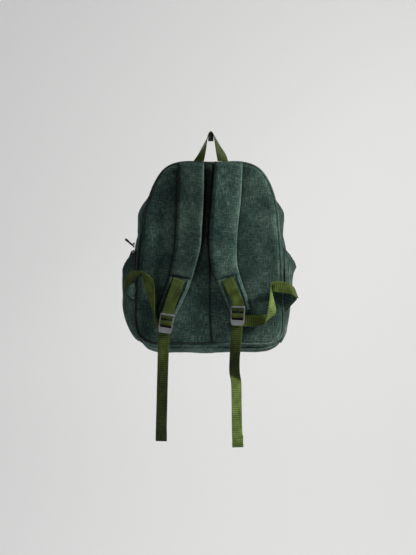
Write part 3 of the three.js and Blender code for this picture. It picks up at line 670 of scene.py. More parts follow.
def edge_distance(x, z, outline_deep=0.0):
    """Distance in millimetres from each point to the outline."""
    t = np.linspace(-1, 1, 400)
    line = WALL.surface(t, outline_deep)
    shape = x.shape
    p = np.stack([x.ravel(), z.ravel()], axis=1)
    best = np.full(len(p), 1e9)
    for a, b in zip(line[:-1, ::2], line[1:, ::2]):
        ab = b - a
        w = np.clip(((p - a) @ ab) / max(ab @ ab, 1e-9), 0, 1)
        best = np.minimum(best, np.linalg.norm(p - a - w[:, None] * ab, axis=1))
    return best.reshape(shape)


def grid_uv(rings, axes=(0, 2)):
    """UVs straight from the points' own places, in millimetres."""
    flat = rings.reshape(-1, 3)
    size = rings.shape[1]
    return lambda i, k: tuple(flat[i * size + k % size][list(axes)])


def add_back_panel():
    near_seam = (-0.028, -0.019, -0.011, -0.005, 0.0, 0.005, 0.011, 0.019, 0.028)
    x, z, s = panel_grid(0.0, (1 / KEYS - 0.03, 11 / KEYS + 0.04), 150, 96, 0.3, near_seam)
    distance = edge_distance(x, z)
    roll = np.sqrt(np.clip(1 - (1 - np.clip(distance / 17, 0, 1)) ** 2, 0, 1))
    y = -(3.5 + 9.5 * roll)
    off_seam = np.abs(x - bag_lean(z) - 1.5)
    y += 3.0 * np.exp(-((off_seam / 2.0) ** 2)) + 1.6 * np.exp(-((off_seam / 9.0) ** 2))
    points = np.stack([x, y, z], axis=-1)
    out = np.zeros_like(points)
    out[..., 1] = -1
    calm = np.clip(distance / 9, 0, 1)[..., None]
    stretched = points * [1, 1, 0.45]
    points = crumpled(points, out * calm, ((150, 2.4), (80, 1.6), (34, 0.8), (12, 0.22)))
    ripple = soft_noise(stretched, 22, 9) * 0.8 * np.clip(1.4 - distance / 45, 0, 1)
    points[..., 1] += ripple * calm[..., 0]
    pucker = 0.55 * np.sin((np.abs(x) + np.abs(z)) / 3.1) * np.exp(-(((distance - 7) / 5) ** 2))
    points[..., 1] += pucker
    inner = points.copy()
    inner[..., 1] = -2.6
    rings = sheet_rings(points, inner)
    # Painted light: the rolled edge is paler, more so towards the lit right side, with some wear; the centre seam's
    # groove gets painted shade.
    rightward = np.clip(x / 60 + 0.4, 0, 1)
    painted_light_and_rub = mix(0.05, 0.3, rightward) * np.exp(-(((distance - 4) / 5) ** 2))
    painted_light_and_rub += 0.25 * rightward * np.exp(-((distance / 1.6) ** 2)) - 0.5 * np.exp(-((off_seam / 2.2) ** 2))
    # Painted shadow in the gap between the two straps.
    painted_light_and_rub -= 0.42 * np.exp(-(((x + 6) / 17) ** 4)) * np.clip((z + 300) / 130, 0, 1)
    # Painted shadows along each strap's left and right edges.
    for side in STRAPS:
        covered = np.clip((z + 345) / 20, 0, 1)
        left, right = (x - strap_edge(side, z, sign) for sign in (-1, 1))
        painted_light_and_rub -= 0.77 * covered * np.exp(-(((left + 0.4) / 2.9) ** 2))
        painted_light_and_rub -= 0.5 * covered * np.exp(-(((right - 1.2) / 2.6) ** 2)) + 0.16 * covered * np.exp(-(((right - 3) / 9) ** 2))
    # Painted shadow on the panel behind each ladder lock.
    for lock in LOCKS.values():
        behind = np.hypot(x - lock["pivot"][0], z - lock["pivot"][1] + 14)
        painted_light_and_rub -= 0.55 * np.exp(-((behind / 13) ** 2))
    panel = ring_solid("padded_back_panel", rings, SHELL, uv=grid_uv(rings), painted_light_and_wear=np.hstack([painted_light_and_rub, painted_light_and_rub[:, ::-1]]))
    finish_piece(panel, "bag", ["back_panel", "back_foam_pad"])


def add_bottom_piping():
    """A second cord, just below the panel, where the bottom's narrow band is sewn in."""
    around = np.linspace(9.7 / KEYS, 2 - 9.7 / KEYS, 150)
    spread = np.clip(np.minimum(around - 9.7 / KEYS, 2 - 9.7 / KEYS - around) / 0.09, 0, 1)
    deep = 0.015 + 0.115 * spread * spread * (3 - 2 * spread)
    centre = WALL.at(around, deep, -1.4)
    centre = crumpled(centre, np.tile([0, 0, 1.0], (len(centre), 1)), ((34, 0.8),))
    # The cord is painted paler all along: a painted highlight on the lit roll, with some wear.
    cord = ring_solid("bottom_piping_cord", tube_rings(centre, 1.9, 10), PIPING, painted_light_and_wear=0.7)
    finish_piece(cord, "bag")


BACK_CORD = 2.5


def add_piping():
    around = np.linspace(-1, 1, 331)[:-1]
    centre = WALL.at(around, 0.0, -1.3)
    centre[:, 1] = -5.6
    centre = crumpled(centre, np.tile([0, 1.0, 0], (len(centre), 1)), ((30, 0.5),))
    closed = np.vstack([centre[-1:], centre, centre[:1]])
    rings = tube_rings(closed, BACK_CORD, 16)[1:-1]
    rightward = np.clip(centre[:, 0] / 60 + 0.4, 0, 1)[:, None]
    middle_x = bag_lean(centre[:, 2])
    outward = centre[:, [0, 2]] - np.stack([middle_x, np.full(len(centre), -215.0)], axis=1)
    outward /= np.linalg.norm(outward, axis=1)[:, None]
    turned = ((rings - centre[:, None])[..., [0, 2]] * outward[:, None]).sum(axis=2) / BACK_CORD
    # Painted light: the cord is painted darker on the left and paler towards the lit right, with painted shade on its
    # outer side, in the groove where it meets the gusset.
    painted_light_and_wear = mix(-0.45, 0.68, rightward) - 0.42 * np.clip(turned + 0.1, 0, 1)
    piping = ring_solid("back_piping_cord", rings, PIPING, looped=True, painted_light_and_wear=painted_light_and_wear)
    finish_piece(piping, "bag", ["back_piping"])


# ---------------------------------------------------------------- shoulder straps
STRAPS = {
    "left": [
        (-41.5, -4, 57), (-43.5, -86, 58), (-46, -140, 57.5), (-49, -187, 56.5), (-59, -237, 52),
        (-72.5, -283, 49), (-86, -315, 46), (-97, -341, 43),
    ],
    "right": [
        (43, -4, 61), (37.5, -86, 63), (32.5, -140, 62), (30, -187, 60.5), (33.5, -237, 56),
        (49, -283, 50), (60, -312, 49), (69, -340, 46),
    ],
}
STRAP_BACK = -18.6
STRAP_THICK = 14.0


def strap_shape(side):
    stations = np.array(STRAPS[side], float)
    line = smooth_line([(x, 0, z) for x, z, _ in stations])
    width = smooth_line([(w, 0, 0) for _, _, w in stations])
    return line, lambda t: width(t)[:, 0]


def strap_edge(side, z, sign):
    """x of the strap's left (-1) or right (1) edge at heights z."""
    line, width = strap_shape(side)
    t = np.linspace(1, 0, 60)
    centre = line(t)
    return np.interp(z, centre[:, 2], centre[:, 0] + sign * width(t) / 2)


STRAP_SEAM_Z = -261.0
STRAP_BORDER = 9.0  # width of the stitched border beside the sewn webbing


def strap_section(side, rows, columns):
    """The strap's centre line, half widths and front face as grids over its length and s."""
    line, width = strap_shape(side)
    t = np.linspace(0, 1, rows)
    centre = line(t)
    along = np.gradient(centre, axis=0)
    along /= np.linalg.norm(along, axis=1)[:, None]
    across = np.stack([-along[:, 2], np.zeros(rows), along[:, 0]], axis=1)
    half = width(t) / 2
    angle = np.linspace(0, np.pi, columns)
    s = -np.cos(angle) * (1 - 0.12 * np.sin(angle) ** 2 * np.abs(np.cos(angle)))
    return centre, across, half, s


def strap_thickness(z):
    """Thick foam above the cross seam, thinner and pressed flat below it."""
    above = np.clip((z - STRAP_SEAM_Z) / 5, 0, 1)
    below = np.clip((STRAP_SEAM_Z - z) / 78, 0, 1)
    return STRAP_THICK * (above + (1 - above) * (0.86 - 0.42 * below))


def add_strap(side):
    rows, columns = 190, 47
    centre, across, half, s = strap_section(side, rows, columns)
    z = centre[:, 2][:, None]
    thick = strap_thickness(z) * np.clip(0.5 + np.abs(z + 4) / 14, 0, 1)
    ends = np.minimum(np.arange(rows), np.arange(rows)[::-1])[:, None] / rows * 340
    bulge = (1 - np.abs(s) ** 8)[None, :] ** 0.55 * np.clip(ends / 5, 0.25, 1) ** 0.5
    bulge = np.broadcast_to(bulge, (rows, columns))
    flange = np.where(np.abs(s) > 0.999, 1.3, 0.0)
    reach = s[None, :] * half[:, None] + np.sign(s)[None, :] * flange[None, :]
    front = centre[:, None] + across[:, None] * reach[..., None]
    back = front.copy()
    middle = STRAP_BACK - thick * 0.4
    lift = bulge * thick * 0.6
    from_edge = half[:, None] - np.abs(reach)
    below = np.clip((STRAP_SEAM_Z - z) / 4, 0, 1)
    lift = lift - 1.3 * below * np.exp(-(((from_edge - STRAP_BORDER) / 1.5) ** 2))
    lift = lift + 1.1 * below * np.exp(-(((from_edge - 5) / 2.6) ** 2))
    seam_z = STRAP_SEAM_Z + 0.12 * reach * (1 if side == "left" else -1)
    lift = lift - 2.4 * np.exp(-(((z - seam_z) / 1.7) ** 2)) * np.minimum(1, from_edge / 3)
    lift = lift - 0.7 * (1 - below) * np.exp(-(((from_edge - 4.2) / 1.2) ** 2))
    front[..., 1] = middle - lift
    back[..., 1] = middle + bulge * thick * 0.4
    out = np.zeros_like(front)
    out[..., 1] = -1
    calm = np.clip(from_edge / 8, 0, 1)[..., None]
    front = crumpled(front, out * calm, ((62, 1.3), (21, 0.6), (9, 0.2)))
    back = back[:, 1:-1]
    rings = np.concatenate([front, back[:, ::-1]], axis=1)
    lit = np.where(reach > 0, 1.0, 0.0)
    # Painted highlight along the strap's lit right edge and painted shade along its left edge.
    painted_light_and_rub = mix(-0.74, 0.6, lit) * np.exp(-((from_edge / mix(1.5, 2.4, lit)) ** 2))
    # Painted highlight on the ridge of the stitched border, stronger on the lit side.
    painted_light_and_rub = painted_light_and_rub + mix(0.1, 0.5, lit) * below * np.exp(-(((from_edge - 5) / 2.2) ** 2))
    # Painted shade in the cross seam's groove and in the groove beside the border.
    painted_light_and_rub = painted_light_and_rub - 0.5 * np.exp(-(((z - seam_z) / 2.0) ** 2)) - 0.35 * below * np.exp(-(((from_edge - STRAP_BORDER) / 1.5) ** 2))
    # Painted light: the right strap is painted paler all over and the left one darker.
    painted_light_and_rub = painted_light_and_rub + (0.2 if side == "right" else -0.26)
    strap = ring_solid(f"shoulder_strap_pad_{side}", rings, SHELL, painted_light_and_wear=np.hstack([painted_light_and_rub, painted_light_and_rub[:, 1:-1][:, ::-1]]))
    nodes = [f"strap_cover_{side}", f"strap_foam_{side}", f"strap_backing_{side}"]
    finish_piece(strap, f"shoulder_strap_{side}", nodes)


# ---------------------------------------------------------------- webbing
def ribbon_rings(edge_a, edge_b, count, thick=WEB_THICK, lift=0.0):
    """Rings of webbing between two edge lines: a flat body with rounded, thicker edges."""
    t = np.linspace(0, 1, count)
    a, b = smooth_line(edge_a)(t), smooth_line(edge_b)(t)
    middle = (a + b) / 2
    along = np.gradient(middle, axis=0)
    normal = np.cross(along, b - a)
    normal /= np.linalg.norm(normal, axis=1)[:, None]
    s = np.array([0, 0.012, 0.05, 0.2, 0.35, 0.5, 0.65, 0.8, 0.95, 0.988, 1])
    half = thick / 2 * np.array([0.25, 0.8, 1.05, 0.95, 0.97, 1.0, 0.97, 0.95, 1.05, 0.8, 0.25])
    base = a[:, None] + (b - a)[:, None] * s[None, :, None] + normal[:, None] * lift
    push = normal[:, None] * half[None, :, None]
    return sheet_rings(base + push, base - push)


def ribbon_uv(rings):
    """Across from 0 to the webbing's width, and along by real length, on both faces."""
    rows, size, _ = rings.shape
    half = size // 2
    middle = rings.mean(axis=1)
    along = np.concatenate([[0], np.cumsum(np.linalg.norm(np.diff(middle, axis=0), axis=1))])
    across = np.linspace(0, WEB_WIDTH, half)

    def uv(i, k):
        k = k % size
        return (across[k] if k < half else across[size - 1 - k], along[min(i, rows - 1)])

    return uv, along[-1]


def add_webbing(name, edges, count, body, replaces, painted_light_and_wear=None, material=WEBBING):
    """A length of webbing. The optional function gives, from the rings, how much paler or darker each point is painted:
    painted light and shade, with some wear.
    """
    rings = ribbon_rings(*edges, count)
    uv, travel = ribbon_uv(rings)
    amounts = 0.0 if painted_light_and_wear is None else painted_light_and_wear(rings)
    obj = ring_solid(name, rings, material, uv=uv, painted_light_and_wear=amounts)
    finish_piece(obj, body, replaces)
    return obj, rings


def straight_edges(centres, tilt, turn=0.0):
    """Edge lines each side of a centre line. tilt leans the width in the back's plane, and turn
    swings it out of that plane."""
    centres = np.asarray(centres, float)
    tilt, turn = (np.broadcast_to(angle, len(centres)) for angle in (tilt, turn))
    flat = np.cos(turn)
    side = np.stack([np.cos(tilt) * flat, np.sin(turn), -np.sin(tilt) * flat], axis=1) * WEB_WIDTH / 2
    return centres - side, centres + side


LOOPS = {
    "left": (
        [
            (-190.5, -21, -279), (-182.5, -32, -256), (-172, -40, -248.3), (-158, -43, -248.2),
            (-150, -44, -248.6), (-136, -42, -256), (-124, -38, -273), (-121.6, -38, -300),
            (-121.6, -40, -330), (-121, -36, -346), (-114, -22, -355), (-103, -20.5, -357),
        ],
        [
            (-191, -15, -289), (-180, -15, -276.5), (-169, -17, -268), (-158, -20, -257.5),
            (-151.8, -22, -253), (-149.5, -21, -262), (-146, -25, -277), (-138.5, -20, -304),
            (-129.5, -16.8, -331.5), (-124, -16.5, -360), (-116, -17.5, -379), (-105, -19.5, -381),
        ],
    ),
    "right": (
        [
            (198.8, 3, -302), (190, -14, -284), (177.2, -26, -274.4), (161.7, -34, -271),
            (145, -42, -271), (136.5, -48, -275), (134.5, -48, -290), (132.5, -45, -312),
            (129.5, -41, -334), (124.5, -34, -356), (121, -25, -368), (110, -19.5, -371),
            (92, -19, -371.5), (72, -23, -371),
        ],
        [
            (199.5, -19, -309), (189, -27, -303), (177, -24, -298.5), (160, -26, -295.5),
            (144.5, -29, -293), (138, -27, -285), (140.5, -27, -300), (146, -28, -321),
            (148.5, -27.5, -338), (145, -23, -346.5), (134, -18, -347), (114, -17, -346),
            (92, -19, -346), (72, -23, -346),
        ],
    ),
}
LOOP_BLEND = {
    "left": ((-172, -20, -290), (-122, -24, -345)),
    "right": ((172, -20, -290), (118, -20, -355)),
}
LOCKS = {
    "left": {"pivot": (-93.5, -345), "tilt": 0.17, "sewn": (-68.4, -266), "sewn_tilt": 0.32},
    "right": {"pivot": (63.2, -328), "tilt": 0.035, "sewn": (40, -265.5), "sewn_tilt": -0.35},
}
LOCK_Y = -32.0
BAR_HALF = 2.2
THREAD_PATH = [
    (0, 7.4, -31), (0, 7, -24), (0, 5, -16.5), (0, 0.5, -14.2), (0, -3.3, -15.1), (0, -4, -18.2),
    (0, -3.2, -21.2), (0, 0, -23.0), (0, 3.5, -26), (0, 4, -31), (0, 4, -38),
]
# Each point is a place on the tail's centre line, with how far the tail is turned there.
TAILS = {
    "left": [
        (-101.3, -28, -386.5, 0), (-103, -27.5, -420, 0.1), (-104.5, -27, -470, -0.18), (-106.3, -27, -540, -0.2),
        (-108, -26.5, -626, -0.12),
    ],
    "right": [
        (61.6, -28, -369.5, 0), (59, -27.5, -405, -0.25), (56, -26.5, -445, -0.45), (56, -26, -474, -0.35),
        (59.5, -26, -496, 0.36), (60.5, -25.5, -540, 0.42), (61.5, -25, -600, 0.36), (63.5, -25, -640, 0.12),
    ],
}
HEM = 24.0


def lock_frame(side, points):
    """Points in a ladder lock's own frame, turned into the bag's."""
    pivot, tilt = LOCKS[side]["pivot"], LOCKS[side]["tilt"]
    p = np.asarray(points, float)
    x = p[:, 0] * math.cos(tilt) + p[:, 2] * math.sin(tilt)
    z = -p[:, 0] * math.sin(tilt) + p[:, 2] * math.cos(tilt)
    return np.stack([x + pivot[0], p[:, 1] + LOCK_Y, z + pivot[1]], axis=1)


def left_loop_painted_light(rings):
    """Painted shade on the side that faces down and outwards; the part towards the light is left paler."""
    x = rings[..., 0]
    return -0.3 + 0.3 * np.exp(-(((x + 136) / 15) ** 2))


def right_loop_painted_light(rings):
    """A painted highlight on the upright leaf of the loop, which faces the light."""
    x, z = rings[..., 0], rings[..., 2]
    leaf = np.exp(-(((x - 138) / 13) ** 4)) * np.clip((-z - 280) / 16, 0, 1) * np.clip((z + 362) / 14, 0, 1)
    return 0.08 + 1.1 * leaf


def left_tail_painted_shade(rings):
    """Painted shade: darker all along, and darker still towards the bottom."""
    z = rings[..., 2]
    return -0.24 - 0.22 * np.clip((-z - 440) / 80, 0, 1)


def right_tail_painted_light(rings):
    """Painted shade where it twists away from the light, and a painted highlight below the slanting fold, where it
    turns towards the light.
    """
    x, z = rings[..., 0], rings[..., 2]
    dark = -0.2 - 0.25 * np.clip((-z - 385) / 60, 0, 1)
    return mix(dark, 0.6, np.clip((-z - 484 - 0.5 * (x - 57)) / 6, 0, 1))


TAIL_PAINTED_LIGHT = {"left": left_tail_painted_shade, "right": right_tail_painted_light}
LOOP_PAINTED_LIGHT = {"left": left_loop_painted_light, "right": right_loop_painted_light}


def add_adjuster(side):
    start, end = LOOP_BLEND[side]
    strap, lock, tail = f"shoulder_strap_{side}", f"strap_adjuster_{side}", f"webbing_tail_{side}"
    blend = ("bag", strap, start, end)
    add_webbing(f"lower_webbing_{side}", LOOPS[side], 170, blend, [f"adjuster_loop_{side}"], LOOP_PAINTED_LIGHT[side], LOOSE_WEBBING)
    edges = [lock_frame(side, np.array(THREAD_PATH) + [dx, 0, 0]) for dx in (-WEB_WIDTH / 2, WEB_WIDTH / 2)]
    # Painted shade on the webbing behind the lock, seen through its slots.
    slot_painted_shade = lambda rings: np.where(rings[..., 1] > LOCK_Y + 0.5, -0.7, 0.05)
    add_webbing(f"threaded_webbing_{side}", edges, 70, lock, [f"adjuster_threaded_{side}"], slot_painted_shade)
    stations = np.array(TAILS[side], float)
    tip, turn = stations[-1, :3], stations[:, 3]
    back = np.array([-math.sin(turn[-1]), math.cos(turn[-1]), 0])
    hem = [(WEB_THICK / 2 + 0.5, -1.2), (WEB_THICK + 1.2, 1), (WEB_THICK + 1.0, HEM)]
    folded = [*stations[:, :3], *(tip + back * behind + [0, 0, up] for behind, up in hem)]
    turns = np.append(turn, [turn[-1]] * len(hem))
    add_webbing(f"webbing_tail_strip_{side}", straight_edges(folded, 0, turns), 170, tail, [f"adjuster_tail_{side}"], TAIL_PAINTED_LIGHT[side], LOOSE_WEBBING)


def add_strap_webbing(side):
    lock = LOCKS[side]
    hook = BAR_HALF + 0.9 + WEB_THICK / 2
    front = STRAP_BACK - STRAP_THICK - 1.7
    bars = lock_frame(side, [(0, front - LOCK_Y + 0.6, 8), (0, -hook, 0), (0, -hook, -5.6), (0, 0, -8.6), (0, hook, -5.6), (0, hook, 5)])
    top = np.array([lock["sewn"][0], front, lock["sewn"][1]])
    between = (top + bars[0]) / 2
    centres = np.vstack([top, between, bars])
    tilts = np.interp(np.arange(len(centres)), [0, 1, 3], [lock["sewn_tilt"], lock["sewn_tilt"], lock["tilt"]])
    middle = (top + lock_frame(side, [(0, 0, 0)])[0]) / 2

    def sewn_webbing_painted_light(rings):
        """Painted a little paler all along, with a painted highlight near its sewn end and painted shade in one
        slanting crease halfway.
        """
        x, z = rings[..., 0] - middle[0], rings[..., 2] - middle[2]
        end = 0.3 * np.exp(-(((z - 28) / 15) ** 2))
        return 0.16 + end - 0.42 * np.exp(-(((z - 0.8 * x + 3) / 7) ** 2))

    name, body = f"sewn_webbing_{side}", f"shoulder_strap_{side}"
    add_webbing(name, straight_edges(centres, tilts), 90, body, [f"strap_webbing_{side}"], sewn_webbing_painted_light)


def sewn_line(name, points, out, body, material=THREAD, pitch=3.6):
    """Stitches along straight runs between points, on a face that looks towards out."""
    points = np.asarray(points, float)
    normals = np.tile(np.asarray(out, float), (len(points), 1))
    return stitches(name, points, normals, body, material, pitch)


def add_webbing_stitches(side):
    """A box with a cross where the webbing is sewn to the strap, and two rows at the hem."""
    lock = LOCKS[side]
    face = STRAP_BACK - STRAP_THICK - 2.6
    top = np.array([lock["sewn"][0], face, lock["sewn"][1]])
    tilt = lock["sewn_tilt"]
    across = np.array([math.cos(tilt), 0, -math.sin(tilt)])
    down = np.array([-math.sin(tilt), 0, -math.cos(tilt)])
    corners = [(-9.6, 2.5), (9.6, 2.5), (9.6, 20), (-9.6, 20), (-9.6, 2.5), (9.6, 20), (9.6, 20), (-9.6, 20), (9.6, 2.5)]
    box = [top + across * u + down * v for u, v in corners]
    sewn_line(f"webbing_box_stitches_{side}", box, (0, -1, 0), f"shoulder_strap_{side}", OLIVE_THREAD)
    *tip, turn = TAILS[side][-1]
    forward = np.array([math.sin(turn), -math.cos(turn), 0])
    width = np.array([math.cos(turn), math.sin(turn), 0])
    for row, height in enumerate((19.5, 22)):
        line = [np.array(tip) + width * x + forward * (WEB_THICK / 2 + 0.1) + [0, 0, height] for x in (-10.8, 10.8)]
        sewn_line(f"tail_hem_stitches_{side}_{row}", line, forward, f"webbing_tail_{side}", OLIVE_THREAD)


# ---------------------------------------------------------------- ladder locks
def add_lock_guard(side):
    """The lock's front bar: a moulded bridge that stands in front of the looped webbing."""
    path = [(-15, -0.4, -0.8), (-15, -5.2, 0.3), (-13.6, -7.7, 0.6), (0, -8.3, 0.7), (13.6, -7.7, 0.6), (15, -5.2, 0.3), (15, -0.4, -0.8)]
    line = smooth_line(path)(np.linspace(0, 1, 60))
    rings = tube_rings(line, 1.0, 14, up=(0.02, 0.05, 1))
    centre = line[:, None]
    stretch = np.array([1.0, 0.9, 1.95])
    rings = centre + (rings - centre) * stretch
    placed = lock_frame(side, rings.reshape(-1, 3)).reshape(rings.shape)
    bar = ring_solid(f"ladder_lock_guard_{side}", placed, BUCKLE)
    finish_piece(bar, f"strap_adjuster_{side}")


def add_ladder_lock(side):
    """A moulded plate with two slots, rounded all over, whose foot curls away as a grip."""
    xs = [-16.3, -13.2, 13.2, 16.3]
    zs = [2.2, -2.2, -16.4, -19.8, -29.0, -33.0, -37.0, -41.0]
    thick = 1.7
    holes = {(1, 1), (1, 3)}
    work = bmesh.new()
    points = {}

    def vertex(i, j, face):
        key = (i, j, face)
        if key not in points:
            points[key] = work.verts.new((xs[i], face * thick, zs[j]))
        return points[key]

    cells = {(i, j) for i in range(len(xs) - 1) for j in range(len(zs) - 1)} - holes
    for i, j in sorted(cells):
        for face in (-1, 1):
            work.faces.new([vertex(i, j, face), vertex(i + 1, j, face), vertex(i + 1, j + 1, face), vertex(i, j + 1, face)])
        walls = [((i, j - 1), (i, j), (i + 1, j)), ((i, j + 1), (i, j + 1), (i + 1, j + 1)), ((i - 1, j), (i, j), (i, j + 1)), ((i + 1, j), (i + 1, j), (i + 1, j + 1))]
        for neighbour, a, b in walls:
            if neighbour not in cells:
                work.faces.new([vertex(*a, -1), vertex(*b, -1), vertex(*b, 1), vertex(*a, 1)])
    bmesh.ops.recalc_face_normals(work, faces=work.faces)
    sharp = [e for e in work.edges if len(e.link_faces) == 2 and e.calc_face_angle(0) > 0.5]
    bmesh.ops.bevel(work, geom=sharp, offset=0.75, segments=3, affect="EDGES", profile=0.6)
    long_edges = [e for e in work.edges if e.calc_length() > 6]
    bmesh.ops.subdivide_edges(work, edges=long_edges, cuts=3, use_grid_fill=True)
    for v in work.verts:
        x, y, z = v.co
        foot = min(1.0, max(0.0, (-z - 28.5) / 12.5))
        narrow = 1 - 0.04 * min(1.0, max(0.0, (-z - 2) / 20)) - 0.2 * foot**1.6
        grip = -3.2 * foot**1.5
        ridge = -0.35 * max(0.0, math.sin((z + 27) * 2.2)) * (1 if foot > 0.15 and abs(x) < 11 and y < 0 else 0)
        v.co = (x * narrow, y * (1 - 0.25 * foot) + grip + ridge, z)
    mesh = bpy.data.meshes.new(f"ladder_lock_moulding_{side}")
    work.to_mesh(mesh)
    work.free()
    co = np.array([v.co for v in mesh.vertices])
    placed = bag(lock_frame(side, co))
    mesh.vertices.foreach_set("co", placed.astype(np.float32).ravel())
    mesh.polygons.foreach_set("use_smooth", [True] * len(mesh.polygons))
    mesh.update()
    obj = bpy.data.objects.new(mesh.name, mesh)
    bpy.context.scene.collection.objects.link(obj)
    mesh.materials.append(BUCKLE)
    finish_piece(obj, f"strap_adjuster_{side}", [f"ladder_lock_{side}"])


# ---------------------------------------------------------------- grab handle
def handle_painted_light(rings):
    """Painted light and shade across the legs: the shaded left leg is painted a little paler and the lit right one a
    little darker.
    """
    return mix(0.15, -0.1, np.clip(rings[..., 0] / 12 + 0.5, 0, 1))


def add_handle():
    right_a = [(39.5, 1.5, 1.6), (34, 7, 18), (22, 11, 37), (12, 12.3, 54), (5.4, 12.5, 64), (0, 12.5, 67)]
    left_a = [(40, 1.5, 1.0), (27.5, 7, 20), (17, 11, 40), (9.2, 12.3, 54), (4.6, 12.5, 63.5)]
    half_b = [(15.5, -1.5, 1.6), (12, -8, 20), (9.2, -11.6, 40), (7.2, -12.3, 54), (4.1, -12.5, 63.5), (0, -12.5, 67)]
    shift = np.array([HANDLE_SHIFT / MM, 0, 0])

    def both(points, others=None):
        points = np.array(points, float)
        mirrored = np.array(points[:-1] if others is None else others, float)[::-1] * [-1, 1, 1]
        return np.vstack([points, mirrored]) + shift

    rails = (both(right_a, left_a), both(half_b))
    add_webbing("grab_handle_webbing", rails, 120, "carry_handle", ["grab_handle"], handle_painted_light)
    # A black tape under the handle's crown stands in for the deep shade there: a dark piece put where there is shade.
    edges = [both([(3.0, y, 48.5), (2.9, y, 55), (2.2, y, 60), (0, y, 62)]) for y in (-10.5, 10.5)]
    rings = ribbon_rings(*edges, 60, 6.0)
    uv, _ = ribbon_uv(rings)
    finish_piece(ring_solid("handle_crown_shadow_tape", rings, TAPE, uv=uv), "carry_handle", ["handle_liner"])


# ---------------------------------------------------------------- wings and side pockets
# Corners as (x, z): the two ends of the side seam, then the two corners of the blunt tip.
WINGS = {
    "left": [(-163, -266), (-166, -320), (-190, -284.5), (-188, -298)],
    "right": [(167, -284), (169, -342), (198.5, -303), (196.5, -312)],
}


def add_wing(side):
    upper, lower, tip_upper, tip_lower = (np.array(p, float) for p in WINGS[side])
    t = np.linspace(0, 1, 18)
    s = np.linspace(0, 1, 16)
    a = mix(upper, tip_upper, t[:, None])
    b = mix(lower, tip_lower, t[:, None])
    grid = a[:, None] + (b - a)[:, None] * s[None, :, None]
    y = mix(-5.0, -12.6, t)[:, None] - 1.6 * np.sin(np.pi * s)[None, :] * (1 - t[:, None])
    y = y + 0.7 * np.exp(-(((s[None, :] - 0.12) / 0.05) ** 2)) + 0.7 * np.exp(-(((s[None, :] - 0.88) / 0.05) ** 2))
    points = np.stack([grid[..., 0], y, grid[..., 1]], axis=-1)
    out = np.zeros_like(points)
    out[..., 1] = -1
    points = crumpled(points, out, ((18, 0.6),))
    rings = sheet_rings(points, points + np.array([0, 2.0, 0]))
    edge = np.minimum(s, 1 - s)[None, :] * np.ones((len(t), 1))
    # Painted shadow outlines the wing's edges, with a painted highlight just inside them.
    painted_light_and_rub = 0.15 * np.exp(-(((edge - 0.14) / 0.05) ** 2)) - 0.65 * np.exp(-((edge / 0.05) ** 2))
    # Painted light across the wing: darker at the seam and paler towards the tip, most on the left wing, which lies in
    # the loop's shadow.
    painted_light_and_rub = painted_light_and_rub + (mix(-0.3, 0.5, t) if side == "left" else mix(-0.1, 0.1, t))[:, None]
    wing = ring_solid(f"wing_fabric_{side}", rings, SHELL, uv=grid_uv(rings), painted_light_and_wear=np.hstack([painted_light_and_rub, painted_light_and_rub[:, ::-1]]))
    finish_piece(wing, "bag", [f"wing_tab_{side}"])


SIDE_BULGE = 23.0


POCKET_NEAR, POCKET_FAR = 0.17, 0.93
POCKET_FOLD = {"left": 0.42, "right": 0.3}  # where the pouch is folded and top-stitched


def rim_around(sign, deep):
    """The rim drops from the back seam and stays level in front of the zip. The slumped bag
    carries the right one a little higher."""
    forward = np.clip((deep - POCKET_NEAR) / 0.4, 0, 1)
    raised = 0.1 if sign > 0 else 0.0
    return (mix(6.2, 7.12, np.sin(np.pi / 2 * forward) ** 1.2) - raised) / KEYS


def pocket_grid(sign, down, deep):
    low = CORNER - 0.01
    down, deep = np.meshgrid(down, deep, indexing="ij")
    around = mix(rim_around(sign, deep), low, down)
    part = np.clip((deep - POCKET_NEAR) / (POCKET_FAR - POCKET_NEAR), 0, 1)
    open_rim = np.sin(np.pi * part) ** 0.95
    slumped = 0.42 + 0.4 * np.exp(-down / 0.11) if sign > 0 else 1.0
    pout = SIDE_BULGE * open_rim * slumped * (1 - np.clip(down, 0, 1) ** 3.2) + 0.9
    points = WALL.at(sign * around, deep, -pout)
    outward = -WALL.inward(sign * around, deep)
    rim_gather = np.exp(-down * 6) * 0.3 * np.sin(deep * 120)
    folds = 3.2 * np.clip(down * 4, 0, 1) * (1 - down) ** 0.7 * soft_noise(points * [1, 1, 0.35], 17, 3)
    gather = rim_gather + folds + 1.5 * soft_noise(points, 40, 5) + 0.5 * soft_noise(points, 12, 4)
    calm = np.clip(np.minimum(deep - POCKET_NEAR, POCKET_FAR - deep) * 9, 0, 1)
    return points + outward * (gather * calm)[..., None], outward


def wing_shadow(side, rings):
    """Painted shadow along a wing's free edges, on the fabric behind it; the rest is marked a little paler."""
    upper, lower, tip_upper, tip_lower = (np.array(p, float) for p in WINGS[side])
    flat = rings[..., [0, 2]]
    painted_light_and_wear = np.full(flat.shape[:2], 0.25)
    behind = np.clip((34 - rings[..., 1]) / 14, 0, 1)
    for a, b in ((upper, tip_upper), (tip_upper, tip_lower), (tip_lower, lower)):
        along = b - a
        part = np.clip(((flat - a) @ along) / (along @ along), 0, 1)
        gap = np.linalg.norm(flat - a - part[..., None] * along, axis=2)
        painted_light_and_wear = np.minimum(painted_light_and_wear, -0.75 * behind * np.exp(-((gap / 3.6) ** 2)))
    return painted_light_and_wear


